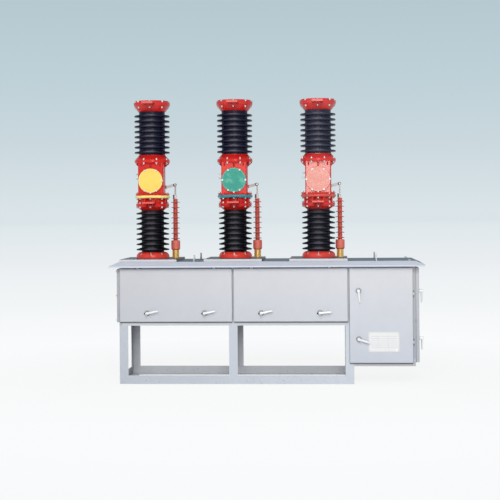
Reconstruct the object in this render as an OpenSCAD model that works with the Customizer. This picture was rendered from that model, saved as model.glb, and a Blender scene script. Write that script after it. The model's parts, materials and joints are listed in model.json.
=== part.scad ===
// Outdoor vacuum circuit breaker: three porcelain-type poles on a steel operating box,
// an angle-iron stand under the linkage compartment and a deep mechanism cabinet on the right.
// Millimetres, +Z up, front towards -Y. The origin is the centre of the overall footprint on the ground.

/* [Operating box] */
// Width of the box over its side walls
box_w = 2416; // [2200:1:2900]
// Depth of the box over its frame
box_d = 674; // [580:1:800]
// Width of the deep mechanism cabinet at the right end
cabinet_w = 497; // [430:1:560]
// Height of the linkage compartment's underside above the ground
floor_z = 478; // [380:1:600]
// Height of the mechanism cabinet's underside above the ground
cabinet_z = 146; // [120:1:200]
// Height of the flat top of the roof sheet
roof_z = 1000; // [900:1:1200]
// Thickness of the folded frame sheet
frame_t = 4; // [3:0.5:6]
// Height of the upturned lips of the two floors
lip_h = 44; // [36:1:50]
// Height of the top frame behind the upper edges of the covers
top_frame_h = 72; // [64:1:90]
// Width of the frame posts' flanges
post_w = 40; // [34:1:50]

/* [Roof] */
// Overhang of the eaves beyond the box ends
eave_x = 78; // [60:1:110]
// Overhang of the eaves beyond the front and back
eave_y = 75; // [70:1:100]
// Drop from the flat top to the upper edge of the eaves
eave_drop = 33; // [25:1:40]
// Height of the downturned eave lip
eave_lip = 11; // [6:1:14]
// Thickness of the roof sheet
roof_t = 3; // [2:0.5:4]
// Width of the flat top beyond the frame
roof_rim = 5; // [4:1:10]

/* [Stand] */
// Leg length of the stand's angle iron
angle_a = 70; // [55:1:85]
// Thickness of the stand's angle iron
angle_t = 7; // [5:1:10]
// Radius of the anchor holes in the bottom rails
anchor_r = 9; // [7:0.5:12]
// Distance of the anchor holes from the ends of the rails
anchor_in = 160; // [100:1:300]

/* [Covers and doors] */
// Thickness of the cover sheet
sheet_t = 2.5; // [1.5:0.5:3]
// Distance of a cover's outer face from the frame
proud = 25; // [22:1:32]
// Gap between a closed door's folded edge and the frame
door_gap = 5; // [4:0.5:8]
// Distance of the covers' upper edges below the roof top
cover_top = 57; // [52:1:70]
// Distance of a cover's lower edge above the underside of its compartment
cover_low = 33; // [28:1:36]
// Gap between neighbouring covers
seam = 14; // [10:1:20]
// Distance of the outer cover edges from the box ends
cover_in = 8; // [6:1:14]
// Centre of the seam between the two front covers
seam_x = -272; // [-320:1:-220]
// Distance of the side panels' edges from the frame corners
side_in = 7; // [5:1:12]
// Distance of the bolted end cover's outer face from the box
end_proud = 22; // [16:1:26]
// Distance of the end door's outer face from the box
end_door_proud = 31; // [24:1:34]

/* [Hinges] */
// Radius of the hinge pins
pin_r = 3; // [2:0.5:4]
// Radius of the hinge knuckles
knuckle_r = 6; // [5:0.5:8]
// Running clearance round a hinge pin or a handle spindle
run_fit = 0.05; // [0.02:0.01:0.09]
// Length of the knuckle on the moving leaf
knuckle_l = 24; // [16:1:40]
// Length of each of the two fixed knuckles
fixed_l = 12; // [8:1:20]
// End play between neighbouring knuckles
knuckle_gap = 0.5; // [0.3:0.1:1]
// Thickness of the hinge leaves
leaf_t = 5; // [4:0.5:6]
// Distance of the lids' hinges from the sides of a lid
lid_hinge_in = 147; // [100:1:250]
// Distance of the lids' hinge axis in front of the frame
lid_axis_out = 14; // [12:0.5:16]
// Height of the lids' hinge axis over their upper edge
lid_axis_up = 10; // [9:0.5:12]
// Distance of the mechanism door's hinge axis in front of the frame
door_axis_out = 13; // [12:0.5:15]
// Distance of the end door's hinge axis beyond the box
end_axis_out = 13; // [12:0.5:15]
// Distance of the end door's hinge axis behind its edge
end_axis_back = 8; // [7:0.5:10]
// Distance of the doors' lower hinges above their lower edges
hinge_low = 168; // [120:1:260]
// Distance of the doors' upper hinges below their upper edges
hinge_high = 209; // [120:1:260]

/* [Handles] */
// Radius of a handle's rose
rose_r = 22; // [18:1:26]
// Thickness of a rose
rose_t = 5; // [3:0.5:8]
// Radius of a handle's hub
hub_r = 11.5; // [9:0.5:14]
// Height of a handle over the door sheet
handle_h = 38; // [30:1:42]
// Length of the lever from the hub centre to its tip
lever_l = 94; // [70:1:110]
// Radius of the lever next to the hub
lever_root_r = 10; // [7:0.5:10.5]
// Radius of the lever's rounded tip
lever_tip_r = 7; // [4:0.5:8]
// Radius of the key barrel's hole in the hub
key_r = 4; // [3:0.5:5]
// Radius of the square-drive spindle where it turns in the sheet
spindle_r = 6; // [4:0.5:8]
// Length of the catch tongue behind the sheet
tongue_l = 30; // [20:1:36]
// Distance of the lids' handles from the sides of a lid
lid_handle_in = 225; // [160:1:300]
// Distance of the lids' handles above their lower edge
lid_handle_up = 70; // [55:1:110]
// Distance of the mechanism door's handles from its free edge
door_handle_in = 73; // [55:1:100]
// Distance of the mechanism door's lower handle above its lower edge
door_handle_low = 193; // [150:1:260]
// Distance of the mechanism door's upper handle below its upper edge
door_handle_high = 184; // [140:1:240]
// Distance of the end door's handles from its free edge
end_handle_in = 80; // [60:1:110]
// Distance of the end door's lower handle above its lower edge
end_handle_low = 190; // [140:1:240]
// Distance of the end door's upper handle below its upper edge
end_handle_high = 192; // [140:1:240]

/* [Rating plate] */
// Distance of the rating plate from the door's free edge
plate_in = 152; // [145:1:200]
// Distance of the rating plate above the door's lower edge
plate_up = 90; // [60:1:140]
// Width of the rating plate
plate_w = 247; // [180:1:280]
// Height of the rating plate
plate_h = 160; // [120:1:200]
// Thickness of the rating plate
plate_t = 1.5; // [1:0.5:2]

/* [Poles] */
// Distance between neighbouring poles
pole_pitch = 700; // [600:1:800]
// Position of the middle pole along the box
pole_mid_x = -274; // [-320:1:-230]
// Width of a pole platform
platform_w = 475; // [400:1:520]
// Depth of a pole platform
platform_d = 610; // [500:1:650]
// Distance of the platforms' centre line in front of the poles
platform_shift = 14; // [0:1:20]
// Thickness of a pole platform
platform_t = 19; // [12:1:30]
// Height of the base flange casting
base_h = 54; // [46:1:70]
// Radius of the base flange
base_r = 139; // [130:1:150]
// Height of the lower insulator
lower_h = 352; // [320:1:420]
// Core radius of the lower insulator
lower_core_r = 95; // [84:1:100]
// Shed radius of the lower insulator
lower_shed_r = 139; // [125:1:150]
// Height of the lower terminal casting
terminal_h = 99; // [90:1:120]
// Radius of the lower terminal's flange
terminal_r = 139; // [134:1:146]
// Radius of the phase ring
ring_r = 148; // [142:1:156]
// Thickness of the phase ring
ring_t = 25; // [16:1:32]
// Height of the crank housing casting
housing_h = 339; // [310:1:400]
// Radius of the crank housing's round back
housing_r = 109; // [100:0.5:114]
// Distance of the crank housing's flat front from the pole's centre line
flat_y = 112; // [104:1:118]
// Width of the crank housing's flat front
flat_w = 190; // [170:1:200]
// Radius of the crank housing's upper flange
flange_r = 148; // [144:1:156]
// Radius of the round cover on the housing
disc_r = 102; // [90:1:104]
// Thickness of the round cover
disc_t = 10; // [6:1:14]
// Height of the upper insulator
upper_h = 365; // [330:1:430]
// Core radius of the upper insulator
upper_core_r = 109; // [96:1:112]
// Shed radius of the upper insulator
upper_shed_r = 149; // [135:1:160]
// Number of sheds on each insulator
sheds = 8; // [5:1:9]
// Height of the terminal cap
cap_h = 97; // [90:1:120]
// Radius of the terminal cap's rim
cap_r = 152; // [144:1:165]
// Width of the upper terminal pads
upper_pad_w = 92; // [80:1:110]
// Thickness of the upper terminal pads
upper_pad_t = 18; // [12:1:22]
// Reach of the upper terminal pads in front of the poles' centre line
upper_reach = 300; // [260:1:320]
// Width of the lower terminal pads
lower_pad_w = 96; // [80:1:110]
// Thickness of the lower terminal pads
lower_pad_t = 14; // [10:1:18]
// Reach of the lower terminal pads in front of the poles' centre line
lower_reach = 280; // [250:1:300]
// Hole spacing of the terminal pads, both ways
pad_pitch = 50; // [40:1:56]
// Radius of the terminal pads' holes
pad_hole_r = 7; // [5:0.5:9]
// Number of bolts round each joint of a pole
flange_bolts = 8; // [6:1:10]

/* [Voltage sensors] */
// Distance of a sensor from its pole along the box
sensor_dx = 179; // [172:1:200]
// Distance of a sensor behind the poles' centre line
sensor_dy = 120; // [80:1:180]
// Height of the brass foot
foot_h = 65; // [50:1:80]
// Radius of the brass foot
foot_r = 29; // [20:1:32]
// Height of the sensor post without its foot
post_h = 434; // [380:1:460]
// Radius of the post's large sheds
sensor_shed_r = 37; // [28:0.5:42]

/* [Hidden] */
PHASES = ["a", "b", "c"];
$fn = 64;

// Box planes
box_l = -box_w / 2;
box_r = box_w / 2;
front_y = -box_d / 2;
back_y = box_d / 2;
cabinet_x = box_r - cabinet_w;
frame_top = roof_z - roof_t;
frame_low = frame_top - top_frame_h;
lip_top = floor_z + frame_t + lip_h;
cabinet_lip_top = cabinet_z + frame_t + lip_h;
leg_top = floor_z;

// Cover rectangles: each is [low x, high x, low z, high z]
hinge_side_in = 22;
end_cover_drop = 6;
end_door_lift = 2;
cover_high_z = roof_z - cover_top;
cover_low_z = floor_z + cover_low;
door_low_z = cabinet_z + cover_low - frame_t;
door_x = cabinet_x - angle_a / 2;
left_rect = [box_l + cover_in, seam_x - seam / 2, cover_low_z, cover_high_z];
right_rect = [seam_x + seam / 2, door_x - seam, cover_low_z, cover_high_z];
door_rect = [door_x, box_r - hinge_side_in, door_low_z, cover_high_z];
side_y = back_y - side_in;

// Hinge axes
lid_axis_y = front_y - lid_axis_out;
lid_axis_z = cover_high_z + lid_axis_up;
door_axis_x = door_rect[1] + knuckle_r;
door_axis_y = front_y - door_axis_out;
end_face_x = box_r + end_door_proud;
end_axis_x = box_r + end_axis_out;
end_axis_y = side_y + end_axis_back;
left_hinge_x = [left_rect[0] + lid_hinge_in, left_rect[1] - lid_hinge_in];
right_hinge_x = [right_rect[0] + lid_hinge_in, right_rect[1] - lid_hinge_in];
door_hinge_z = [door_low_z + hinge_low, cover_high_z - hinge_high];

// Handle hubs
lid_handle_z = cover_low_z + lid_handle_up;
left_handle_x = [left_rect[0] + lid_handle_in, left_rect[1] - lid_handle_in];
right_handle_x = [right_rect[0] + lid_handle_in, right_rect[1] - lid_handle_in];
door_handle_x = door_rect[0] + door_handle_in;
door_handle_z = [door_low_z + door_handle_low, cover_high_z - door_handle_high];
end_handle_y = end_handle_in - side_y;
end_handle_z = [door_low_z + end_handle_low, cover_high_z - end_handle_high];

// Pole heights
pole_x = [for (i = [-1:1]) pole_mid_x + i * pole_pitch];
platform_z = roof_z + platform_t;
lower_z = platform_z + base_h;
terminal_z = lower_z + lower_h;
ring_z = terminal_z + terminal_h;
housing_z = ring_z + ring_t;
upper_z = housing_z + housing_h;
cap_z = upper_z + upper_h;

// Pole castings
bolt_r = ring_r - 18;
seat_r = 13;
lower_bell_h = 26;
lower_flange_h = 55;
lower_pad_h = 53;
foot_flange_h = 15;
disc_h = 122;
disc_boss = 6;
upper_flange_h = housing_h - 66;
upper_flange_t = 20;
corner_r = 12;
cap_bell_h = 50;
cap_seat_h = 37;
cap_rim_h = 78;
cap_crown_h = 90;
upper_pad_h = 52;
front_turn = -90;
half_bolt = 180 / flange_bolts;

// Sensor connection: the lug on the housing carries a bar to the knob above the sensor
knob_h = 90;
link_h = 70;
knob_z = housing_z + knob_h;
link_z = housing_z + link_h;
link_angle = atan2(sensor_dy, sensor_dx);
lug_out = 22;
bar_t = 6;
bar_h = 24;
knob_r = 12;

// Operating gear inside the box
shaft_y = 90;
shaft_z = floor_z + 260;
shaft_r = 25;
crank_pin_r = 8;
rod_r = 12;
eye_t = 22;
gear_w = 340;
gear_d = 360;
gear_h = 600;
gear_low = cabinet_z + frame_t + 40;
gear_x = cabinet_x + 70;
gear_y = shaft_y - 220;
gear_plate_t = 8;
beam_w = 50;
beam_h = 56;
beam_wall = 5;
beam_dx = 150;

LIGHT_GREY = [0.80, 0.82, 0.83];
BLUE_GREY = [0.62, 0.68, 0.72];
SLATE = [0.34, 0.38, 0.42];
RED = [0.72, 0.06, 0.06];
BLACK = [0.05, 0.06, 0.09];
STEEL = [0.75, 0.76, 0.78];
BRASS = [0.85, 0.65, 0.25];
SILICONE = [0.45, 0.20, 0.14];
PHASE_COLOURS = [[0.95, 0.78, 0.10], [0.10, 0.55, 0.35], [0.88, 0.40, 0.38]];

// Points of an arc round a centre in a profile's plane
function arc(centre, r, from, to, steps = 6) =
    [for (i = [0:steps]) let (a = from + (to - from) * i / steps)
        [centre[0] + r * cos(a), centre[1] + r * sin(a)]];

// Angle section with its outer corner on the origin and its legs along +X and +Y
module angle_section(a, b, t) {
    polygon([[0, 0], [a, 0], [a, t], [t, t], [t, b], [0, b]]);
}

// Puts its children at the front and mirrored at the back
module front_and_back() {
    for (s = [0, 1]) mirror([0, s, 0]) children();
}

// Puts its children on a circle, the first at an angle from +X
module around(n, r, first = 0) {
    for (i = [0:n - 1]) rotate([0, 0, first + i * 360 / n]) translate([r, 0, 0]) children();
}

// Box between two corners
module block(low, high) {
    translate(low) cube(high - low);
}

// Solid turned round Z from a profile of radius and height
module turned(points) {
    rotate_extrude($fn = 96) polygon(points);
}

// Folded sheet tray, open towards +Z: outer size, depth, sheet thickness
module tray(size, depth, t) {
    difference() {
        cube([size[0], size[1], depth]);
        translate([t, t, t]) cube([size[0] - 2 * t, size[1] - 2 * t, depth]);
    }
}

// ---- Stand ----

module stand_rail() {
    difference() {
        translate([box_l, front_y, 0]) rotate([90, 0, 90])
            linear_extrude(cabinet_x - box_l) angle_section(angle_a, angle_a, angle_t);
        for (x = [box_l + anchor_in, cabinet_x - anchor_in])
            translate([x, front_y + angle_a / 2, -1]) cylinder(r = anchor_r, h = angle_t + 2);
    }
}

module stand_end_rail() {
    difference() {
        translate([box_l, back_y - angle_t, 0]) rotate([90, 0, 0])
            linear_extrude(box_d - 2 * angle_t) angle_section(angle_a, angle_a, angle_t);
        front_and_back()
            block([box_l - 1, front_y, -1], [box_l + angle_a + 1, front_y + angle_a, angle_t]);
    }
}

module stand_base() {
    color(BLUE_GREY) {
        front_and_back() stand_rail();
        stand_end_rail();
        translate([box_l + cabinet_x, 0, 0]) mirror([1, 0, 0]) stand_end_rail();
    }
}

module stand_leg() {
    linear_extrude(leg_top - angle_a) angle_section(angle_a, angle_a, angle_t);
}

module stand_legs() {
    color(BLUE_GREY) front_and_back() {
        translate([box_l, front_y, angle_a]) stand_leg();
        translate([seam_x - angle_a / 2, front_y, angle_a]) stand_leg();
        translate([cabinet_x, front_y, angle_a]) mirror([1, 0, 0]) stand_leg();
    }
}

// ---- Box frame ----

module linkage_floor() {
    color(BLUE_GREY) difference() {
        block([box_l, front_y, floor_z], [cabinet_x, back_y, lip_top]);
        block([box_l + frame_t, front_y + frame_t, floor_z + frame_t],
              [cabinet_x + 1, back_y - frame_t, lip_top + 1]);
    }
}

module mechanism_tray() {
    color(BLUE_GREY) {
        difference() {
            block([cabinet_x, front_y, cabinet_z], [box_r, back_y, cabinet_lip_top]);
            block([cabinet_x + frame_t, front_y + frame_t, cabinet_z + frame_t],
                  [box_r - frame_t, back_y - frame_t, cabinet_lip_top + 1]);
        }
        block([cabinet_x, front_y, cabinet_z], [cabinet_x + frame_t, back_y, lip_top]);
    }
}

module corner_post(low) {
    linear_extrude(frame_low - low) angle_section(post_w, post_w, frame_t);
}

module box_posts() {
    color(BLUE_GREY) front_and_back() {
        translate([box_l, front_y, lip_top]) corner_post(lip_top);
        translate([box_r, front_y, cabinet_lip_top]) mirror([1, 0, 0]) corner_post(cabinet_lip_top);
        translate([seam_x - post_w / 2, front_y, lip_top]) corner_post(lip_top);
        translate([cabinet_x, front_y, lip_top]) mirror([1, 0, 0])
            linear_extrude(frame_low - lip_top) angle_section(angle_a, post_w, frame_t);
    }
}

module top_frame() {
    inner = frame_t + post_w;
    color(BLUE_GREY) difference() {
        block([box_l, front_y, frame_low], [box_r, back_y, frame_top]);
        block([box_l + frame_t, front_y + frame_t, frame_low - 1],
              [box_r - frame_t, back_y - frame_t, frame_top - frame_t]);
        block([box_l + inner, front_y + inner, frame_low], [box_r - inner, back_y - inner, frame_top + 1]);
    }
}

// Channel across the box under a pole's platform, notched under the top frame's flange
module roof_beam() {
    y0 = back_y - frame_t;
    y1 = y0 - post_w;
    z0 = frame_top - frame_t - beam_h;
    z1 = frame_top - frame_t;
    rotate([90, 0, 90]) difference() {
        linear_extrude(beam_w)
            polygon([[-y0, z0], [y0, z0], [y0, z1], [y1, z1], [y1, frame_top],
                     [-y1, frame_top], [-y1, z1], [-y0, z1]]);
        translate([-y0 - 1, z0 + beam_wall, beam_wall])
            cube([2 * y0 + 2, beam_h - 2 * beam_wall, beam_w]);
    }
}

module roof_beams() {
    color(BLUE_GREY) for (x = pole_x, s = [-1, 1])
        translate([x + s * beam_dx - beam_w / 2, 0, 0]) roof_beam();
}

// Hipped form between the flat top and the eaves, shifted down and drawn in by one sheet thickness
module hip(inset, drop) {
    top_x = box_w / 2 + roof_rim - inset / 2;
    top_y = box_d / 2 + roof_rim - inset / 2;
    low_x = box_w / 2 + eave_x - inset;
    low_y = box_d / 2 + eave_y - inset;
    hull() {
        block([-top_x, -top_y, roof_z - drop - 0.01], [top_x, top_y, roof_z - drop]);
        block([-low_x, -low_y, roof_z - eave_drop - drop], [low_x, low_y, roof_z - eave_drop - drop + 0.01]);
    }
}

module roof() {
    lx = box_w / 2 + eave_x;
    ly = box_d / 2 + eave_y;
    lip_z = roof_z - eave_drop - eave_lip;
    color(LIGHT_GREY) difference() {
        union() {
            hip(0, 0);
            block([-lx, -ly, lip_z], [lx, ly, roof_z - eave_drop]);
        }
        hip(roof_t, roof_t);
        block([-lx + roof_t, -ly + roof_t, lip_z - 1],
              [lx - roof_t, ly - roof_t, roof_z - eave_drop - roof_t]);
    }
}

module pole_platforms() {
    color(SLATE) for (x = pole_x)
        translate([x - platform_w / 2, -platform_d / 2 - platform_shift, roof_z])
            cube([platform_w, platform_d, platform_t]);
}

// Flat lifting lug across the roof; a pin through its eye passes clear over the platforms
module lifting_lug() {
    lug_t = 10;
    lug_w = 60;
    foot_z = 20;
    eye_r = 11;
    head_r = 20;
    eye_z = platform_t + eye_r + 4;
    rotate([90, 0, 90]) translate([0, 0, -lug_t / 2]) difference() {
        union() {
            translate([-lug_w / 2, 0, 0]) cube([lug_w, foot_z, lug_t]);
            translate([-head_r, 0, 0]) cube([2 * head_r, eye_z, lug_t]);
            translate([0, eye_z, 0]) cylinder(r = head_r, h = lug_t);
        }
        translate([0, eye_z, -1]) cylinder(r = eye_r, h = lug_t + 2);
    }
}

module lifting_lugs() {
    lug_y = 270;
    gap_x = pole_mid_x - pole_pitch / 2 + 30;
    right_x = pole_mid_x + pole_pitch * 1.5 + 120;
    color(BLUE_GREY) for (x = [gap_x, right_x], y = [-lug_y, lug_y])
        translate([x, y, roof_z]) lifting_lug();
}

// ---- Covers and doors ----

// Folded pan with its open side towards the box: rectangle, outer face and folded edge planes
module front_pan(r, face_y, edge_y) {
    translate([r[0], face_y, r[3]]) rotate([-90, 0, 0])
        tray([r[1] - r[0], r[3] - r[2]], edge_y - face_y, sheet_t);
}

module side_pan(low_z, depth) {
    rotate([0, -90, 0]) translate([low_z, -side_y, 0])
        tray([cover_high_z - low_z, 2 * side_y], depth, sheet_t);
}

module back_covers() {
    color(LIGHT_GREY) mirror([0, 1, 0]) for (r = [left_rect, right_rect, door_rect])
        front_pan(r, front_y - proud, front_y);
}

module left_end_cover() {
    color(LIGHT_GREY) translate([box_l - end_proud, 0, 0]) mirror([1, 0, 0])
        side_pan(cover_low_z - end_cover_drop, end_proud);
}

// Moving knuckle on the origin along Z, with its leaf towards -X, bored for the pin
module moving_knuckle(reach) {
    difference() {
        union() {
            translate([0, 0, -knuckle_l / 2]) cylinder(r = knuckle_r, h = knuckle_l);
            translate([-reach, -leaf_t / 2, -knuckle_l / 2]) cube([reach, leaf_t, knuckle_l]);
        }
        translate([0, 0, -knuckle_l]) cylinder(r = pin_r + run_fit, h = 2 * knuckle_l);
    }
}

// Two fixed knuckles on one pin along Z; their leaves run towards +X, shifted sideways from the axis
module fixed_knuckles(reach, t, shift) {
    z0 = knuckle_l / 2 + knuckle_gap;
    translate([0, 0, -z0 - fixed_l]) cylinder(r = pin_r, h = 2 * (z0 + fixed_l));
    for (s = [0, 1]) mirror([0, 0, s]) translate([0, 0, z0]) {
        cylinder(r = knuckle_r, h = fixed_l);
        translate([0, shift - t / 2, 0]) cube([reach, t, fixed_l]);
    }
}

module handle_bore(depth) {
    translate([0, 0, -1]) cylinder(r = spindle_r + run_fit, h = depth + 2);
}

// Lift-up front cover hung from two knuckles on its upper edge
module lid(r, hinge_x, handle_x) {
    color(LIGHT_GREY) difference() {
        union() {
            front_pan(r, front_y - proud, front_y - door_gap);
            for (x = hinge_x) translate([x, lid_axis_y, lid_axis_z])
                rotate([0, 90, 0]) mirror([1, 0, 0]) moving_knuckle(lid_axis_up + 1);
        }
        for (x = handle_x) translate([x, front_y - proud, lid_handle_z])
            rotate([-90, 0, 0]) handle_bore(sheet_t);
    }
}

module left_cover() {
    lid(left_rect, left_hinge_x, left_handle_x);
}

module right_cover() {
    lid(right_rect, right_hinge_x, right_handle_x);
}

module mechanism_door() {
    color(LIGHT_GREY) difference() {
        union() {
            front_pan(door_rect, front_y - proud, front_y - door_gap);
            for (z = door_hinge_z) translate([door_axis_x, door_axis_y, z]) moving_knuckle(knuckle_r + 1);
        }
        for (z = door_handle_z) translate([door_handle_x, front_y - proud, z])
            rotate([-90, 0, 0]) handle_bore(sheet_t);
    }
}

module end_door() {
    color(LIGHT_GREY) difference() {
        union() {
            translate([end_face_x, 0, 0]) side_pan(door_low_z + end_door_lift, end_door_proud - door_gap);
            for (z = door_hinge_z) translate([end_axis_x, end_axis_y, z])
                rotate([0, 0, 90]) moving_knuckle(end_axis_back + 1);
        }
        for (z = end_handle_z) translate([end_face_x - sheet_t, end_handle_y, z])
            rotate([0, 90, 0]) handle_bore(sheet_t);
    }
}

module hinge_pins() {
    fixed_t = 4;
    color(STEEL) {
        for (x = concat(left_hinge_x, right_hinge_x)) translate([x, lid_axis_y, lid_axis_z])
            rotate([0, 90, 0]) rotate([0, 0, 90]) fixed_knuckles(lid_axis_out, fixed_t, 0);
        for (z = door_hinge_z) {
            translate([door_axis_x, door_axis_y, z]) rotate([0, 0, 90])
                fixed_knuckles(door_axis_out, fixed_t, 0);
            translate([end_axis_x, end_axis_y, z]) rotate([0, 0, 180])
                fixed_knuckles(end_axis_out, leaf_t, leaf_t / 2);
        }
    }
}

module rating_plate() {
    x = door_rect[0] + plate_in;
    z = door_low_z + plate_up;
    color(STEEL) block([x, front_y - proud - plate_t, z], [x + plate_w, front_y - proud, z + plate_h]);
}

// ---- Handles ----

// Rose on the panel's face, bored for the spindle; the panel's outward normal is +Z here
module rose() {
    edge = 2;
    difference() {
        turned(concat([[0, 0], [rose_r, 0]], arc([rose_r - edge, rose_t - edge], edge, 0, 90, 3),
                      [[0, rose_t]]));
        handle_bore(rose_t);
    }
}

// Lever handle: spindle, hub with a key hole, turned tapering lever at an angle from +X, inner tongue
module lever_handle(angle) {
    edge = 3;
    key_depth = 8;
    tongue_w = 14;
    tongue_t = 4;
    tongue_z = -sheet_t - 9;
    hub_z = rose_t + 0.5;
    lever_z = handle_h - edge - lever_root_r;
    color(STEEL) rotate([0, 0, angle]) {
        difference() {
            union() {
                translate([0, 0, tongue_z]) cylinder(r = spindle_r, h = hub_z - tongue_z);
                turned(concat([[0, hub_z], [hub_r, hub_z]],
                              arc([hub_r - edge, handle_h - edge], edge, 0, 90, 3), [[0, handle_h]]));
                translate([0, 0, lever_z]) rotate([0, 90, 0])
                    turned(concat([[0, 0], [lever_root_r, 0]],
                                  arc([0, lever_l - lever_tip_r], lever_tip_r, 8, 90, 5)));
            }
            translate([0, 0, handle_h - key_depth]) cylinder(r = key_r, h = key_depth + 1);
        }
        translate([0, -tongue_w / 2, tongue_z]) cube([tongue_l, tongue_w, tongue_t]);
    }
}

// Frames on the panels: children's +Z is the outward normal and +X the panel's right
module on_front(x, z) {
    translate([x, front_y - proud, z]) rotate([90, 0, 0]) children();
}

module on_end(y, z) {
    translate([end_face_x, y, z]) rotate([90, 0, 90]) children();
}

module left_cover_roses() {
    color(STEEL) for (x = left_handle_x) on_front(x, lid_handle_z) rose();
}

module right_cover_roses() {
    color(STEEL) for (x = right_handle_x) on_front(x, lid_handle_z) rose();
}

module mechanism_door_roses() {
    color(STEEL) for (z = door_handle_z) on_front(door_handle_x, z) rose();
}

module end_door_roses() {
    color(STEEL) for (z = end_handle_z) on_end(end_handle_y, z) rose();
}

// ---- Operating gear ----

// Children's +X points along the machine's +Y and +Y upwards; +Z runs along the shaft from x
module along_shaft(x) {
    translate([x, 0, 0]) rotate([90, 0, 90]) children();
}

// Side plate of the spring mechanism with its corners cut and two openings
module gear_plate() {
    cut = 40;
    window_r = 55;
    y = gear_y;
    z = gear_low;
    linear_extrude(gear_plate_t) difference() {
        polygon([[y, z], [y + gear_d, z], [y + gear_d, z + gear_h - cut], [y + gear_d - cut, z + gear_h],
                 [y + cut, z + gear_h], [y, z + gear_h - cut]]);
        for (h = [0.2, 0.52]) translate([y + gear_d - 90, z + gear_h * h]) circle(r = window_r);
    }
}

// Ratchet wheel: the teeth rise evenly and drop back radially
module ratchet(r, tooth, n, t) {
    linear_extrude(t) polygon([for (i = [0:n - 1], k = [0, 1])
        let (a = (i + k * 0.92) * 360 / n) [(r + k * tooth) * cos(a), (r + k * tooth) * sin(a)]]);
}

// Close-wound spring along Z, each turn of wire a round ridge on the coil
module coil_spring(r, wire, turns) {
    turned(concat([[0, 0]], [for (i = [0:turns - 1], p = arc([r, (2 * i + 1) * wire], wire, -80, 80, 4)) p],
                  [[0, 2 * turns * wire]]));
}

// Spring-operated mechanism: two plates on tie rods with the ratchet, motor, springs and switch between
module operating_mechanism() {
    inner_x = gear_x + gear_plate_t;
    inner_w = gear_w - 2 * gear_plate_t;
    gear_back = gear_y + gear_d;
    gear_top = gear_low + gear_h;
    tie_r = 9;
    tie_in = 25;
    wheel_y = gear_y + 150;
    wheel_z = gear_low + 190;
    wheel_r = 82;
    wheel_t = 16;
    wheel_x = 60;
    drum_r = 70;
    drum_x = 110;
    drum_w = 90;
    drum_shaft_r = 22;
    tooth = 8;
    teeth = 30;
    gearbox = [110, 96, 120];
    gearbox_in = 150;
    motor_r = 42;
    motor_l = 90;
    motor_z = 60;
    spring_r = 26;
    spring_in = 60;
    spring_y = gear_y + 40;
    spring_top = gear_top - 150;
    wire = 5;
    turns = 20;
    bar_w = 40;
    spring_bar_t = 12;
    bearer_w = 40;
    bearer_in = 20;
    switch_in = 100;
    switch_down = 120;
    switch_r = 24;
    stage_w = 27;
    stages = 12;
    color(SLATE) {
        along_shaft(gear_x) gear_plate();
        along_shaft(gear_x + gear_w - gear_plate_t) gear_plate();
        for (y = [gear_y + tie_in, gear_back - tie_in], z = [gear_low + tie_in, gear_top - 3 * tie_in])
            along_shaft(inner_x) translate([y, z, 0]) cylinder(r = tie_r, h = inner_w);
        for (y = [gear_y + bearer_in, gear_back - bearer_in - bearer_w])
            block([gear_x - bearer_in, y, cabinet_z + frame_t],
                  [gear_x + gear_w + bearer_in, y + bearer_w, gear_low]);
    }
    color(STEEL) {
        along_shaft(inner_x) translate([wheel_y, wheel_z, 0]) {
            cylinder(r = drum_shaft_r, h = inner_w);
            translate([0, 0, wheel_x]) ratchet(wheel_r, tooth, teeth, wheel_t);
            translate([0, 0, drum_x]) cylinder(r = drum_r, h = drum_w);
        }
        for (z = [spring_top, spring_top - 2 * turns * wire - spring_bar_t])
            block([inner_x, spring_y - bar_w / 2, z],
                  [inner_x + inner_w, spring_y + bar_w / 2, z + spring_bar_t]);
        for (x = [inner_x + spring_in, inner_x + inner_w - spring_in])
            translate([x, spring_y, spring_top - 2 * turns * wire]) coil_spring(spring_r, wire, turns);
    }
    color(SLATE) {
        translate([inner_x + inner_w - gearbox[0], gear_back - gearbox_in, gear_low]) {
            cube(gearbox);
            translate([gearbox[0] / 2, -motor_l, motor_z]) rotate([-90, 0, 0])
                cylinder(r = motor_r, h = motor_l);
        }
        along_shaft(inner_x) translate([gear_back - switch_in, gear_top - switch_down, 0])
            turned(concat([[0, 0]], [for (i = [0:stages - 1], p = [[0, 0], [0, 22], [-4, 23], [-4, 26]])
                                         [switch_r + p[0], i * stage_w + p[1]]], [[0, inner_w]]));
    }
}

// Fork lever of two cheeks on a boss, from the shaft to the crank pin above the pole's centre line
module crank() {
    cheek_t = 10;
    boss_r = 40;
    pin_boss_r = 20;
    for (s = [0, 1]) mirror([s, 0, 0]) translate([eye_t / 2 + 1, 0, 0]) rotate([90, 0, 90]) {
        linear_extrude(cheek_t) {
            translate([shaft_y, 0]) circle(r = boss_r);
            circle(r = pin_boss_r);
            polygon([[0, -pin_boss_r], [shaft_y, -boss_r], [shaft_y, boss_r], [0, pin_boss_r]]);
        }
    }
    span = eye_t / 2 + 1 + cheek_t;
    translate([-span, shaft_y, 0]) rotate([0, 90, 0]) cylinder(r = boss_r, h = 2 * span);
    translate([-span - 6, 0, 0]) rotate([0, 90, 0]) cylinder(r = crank_pin_r, h = 2 * span + 12);
}

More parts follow.
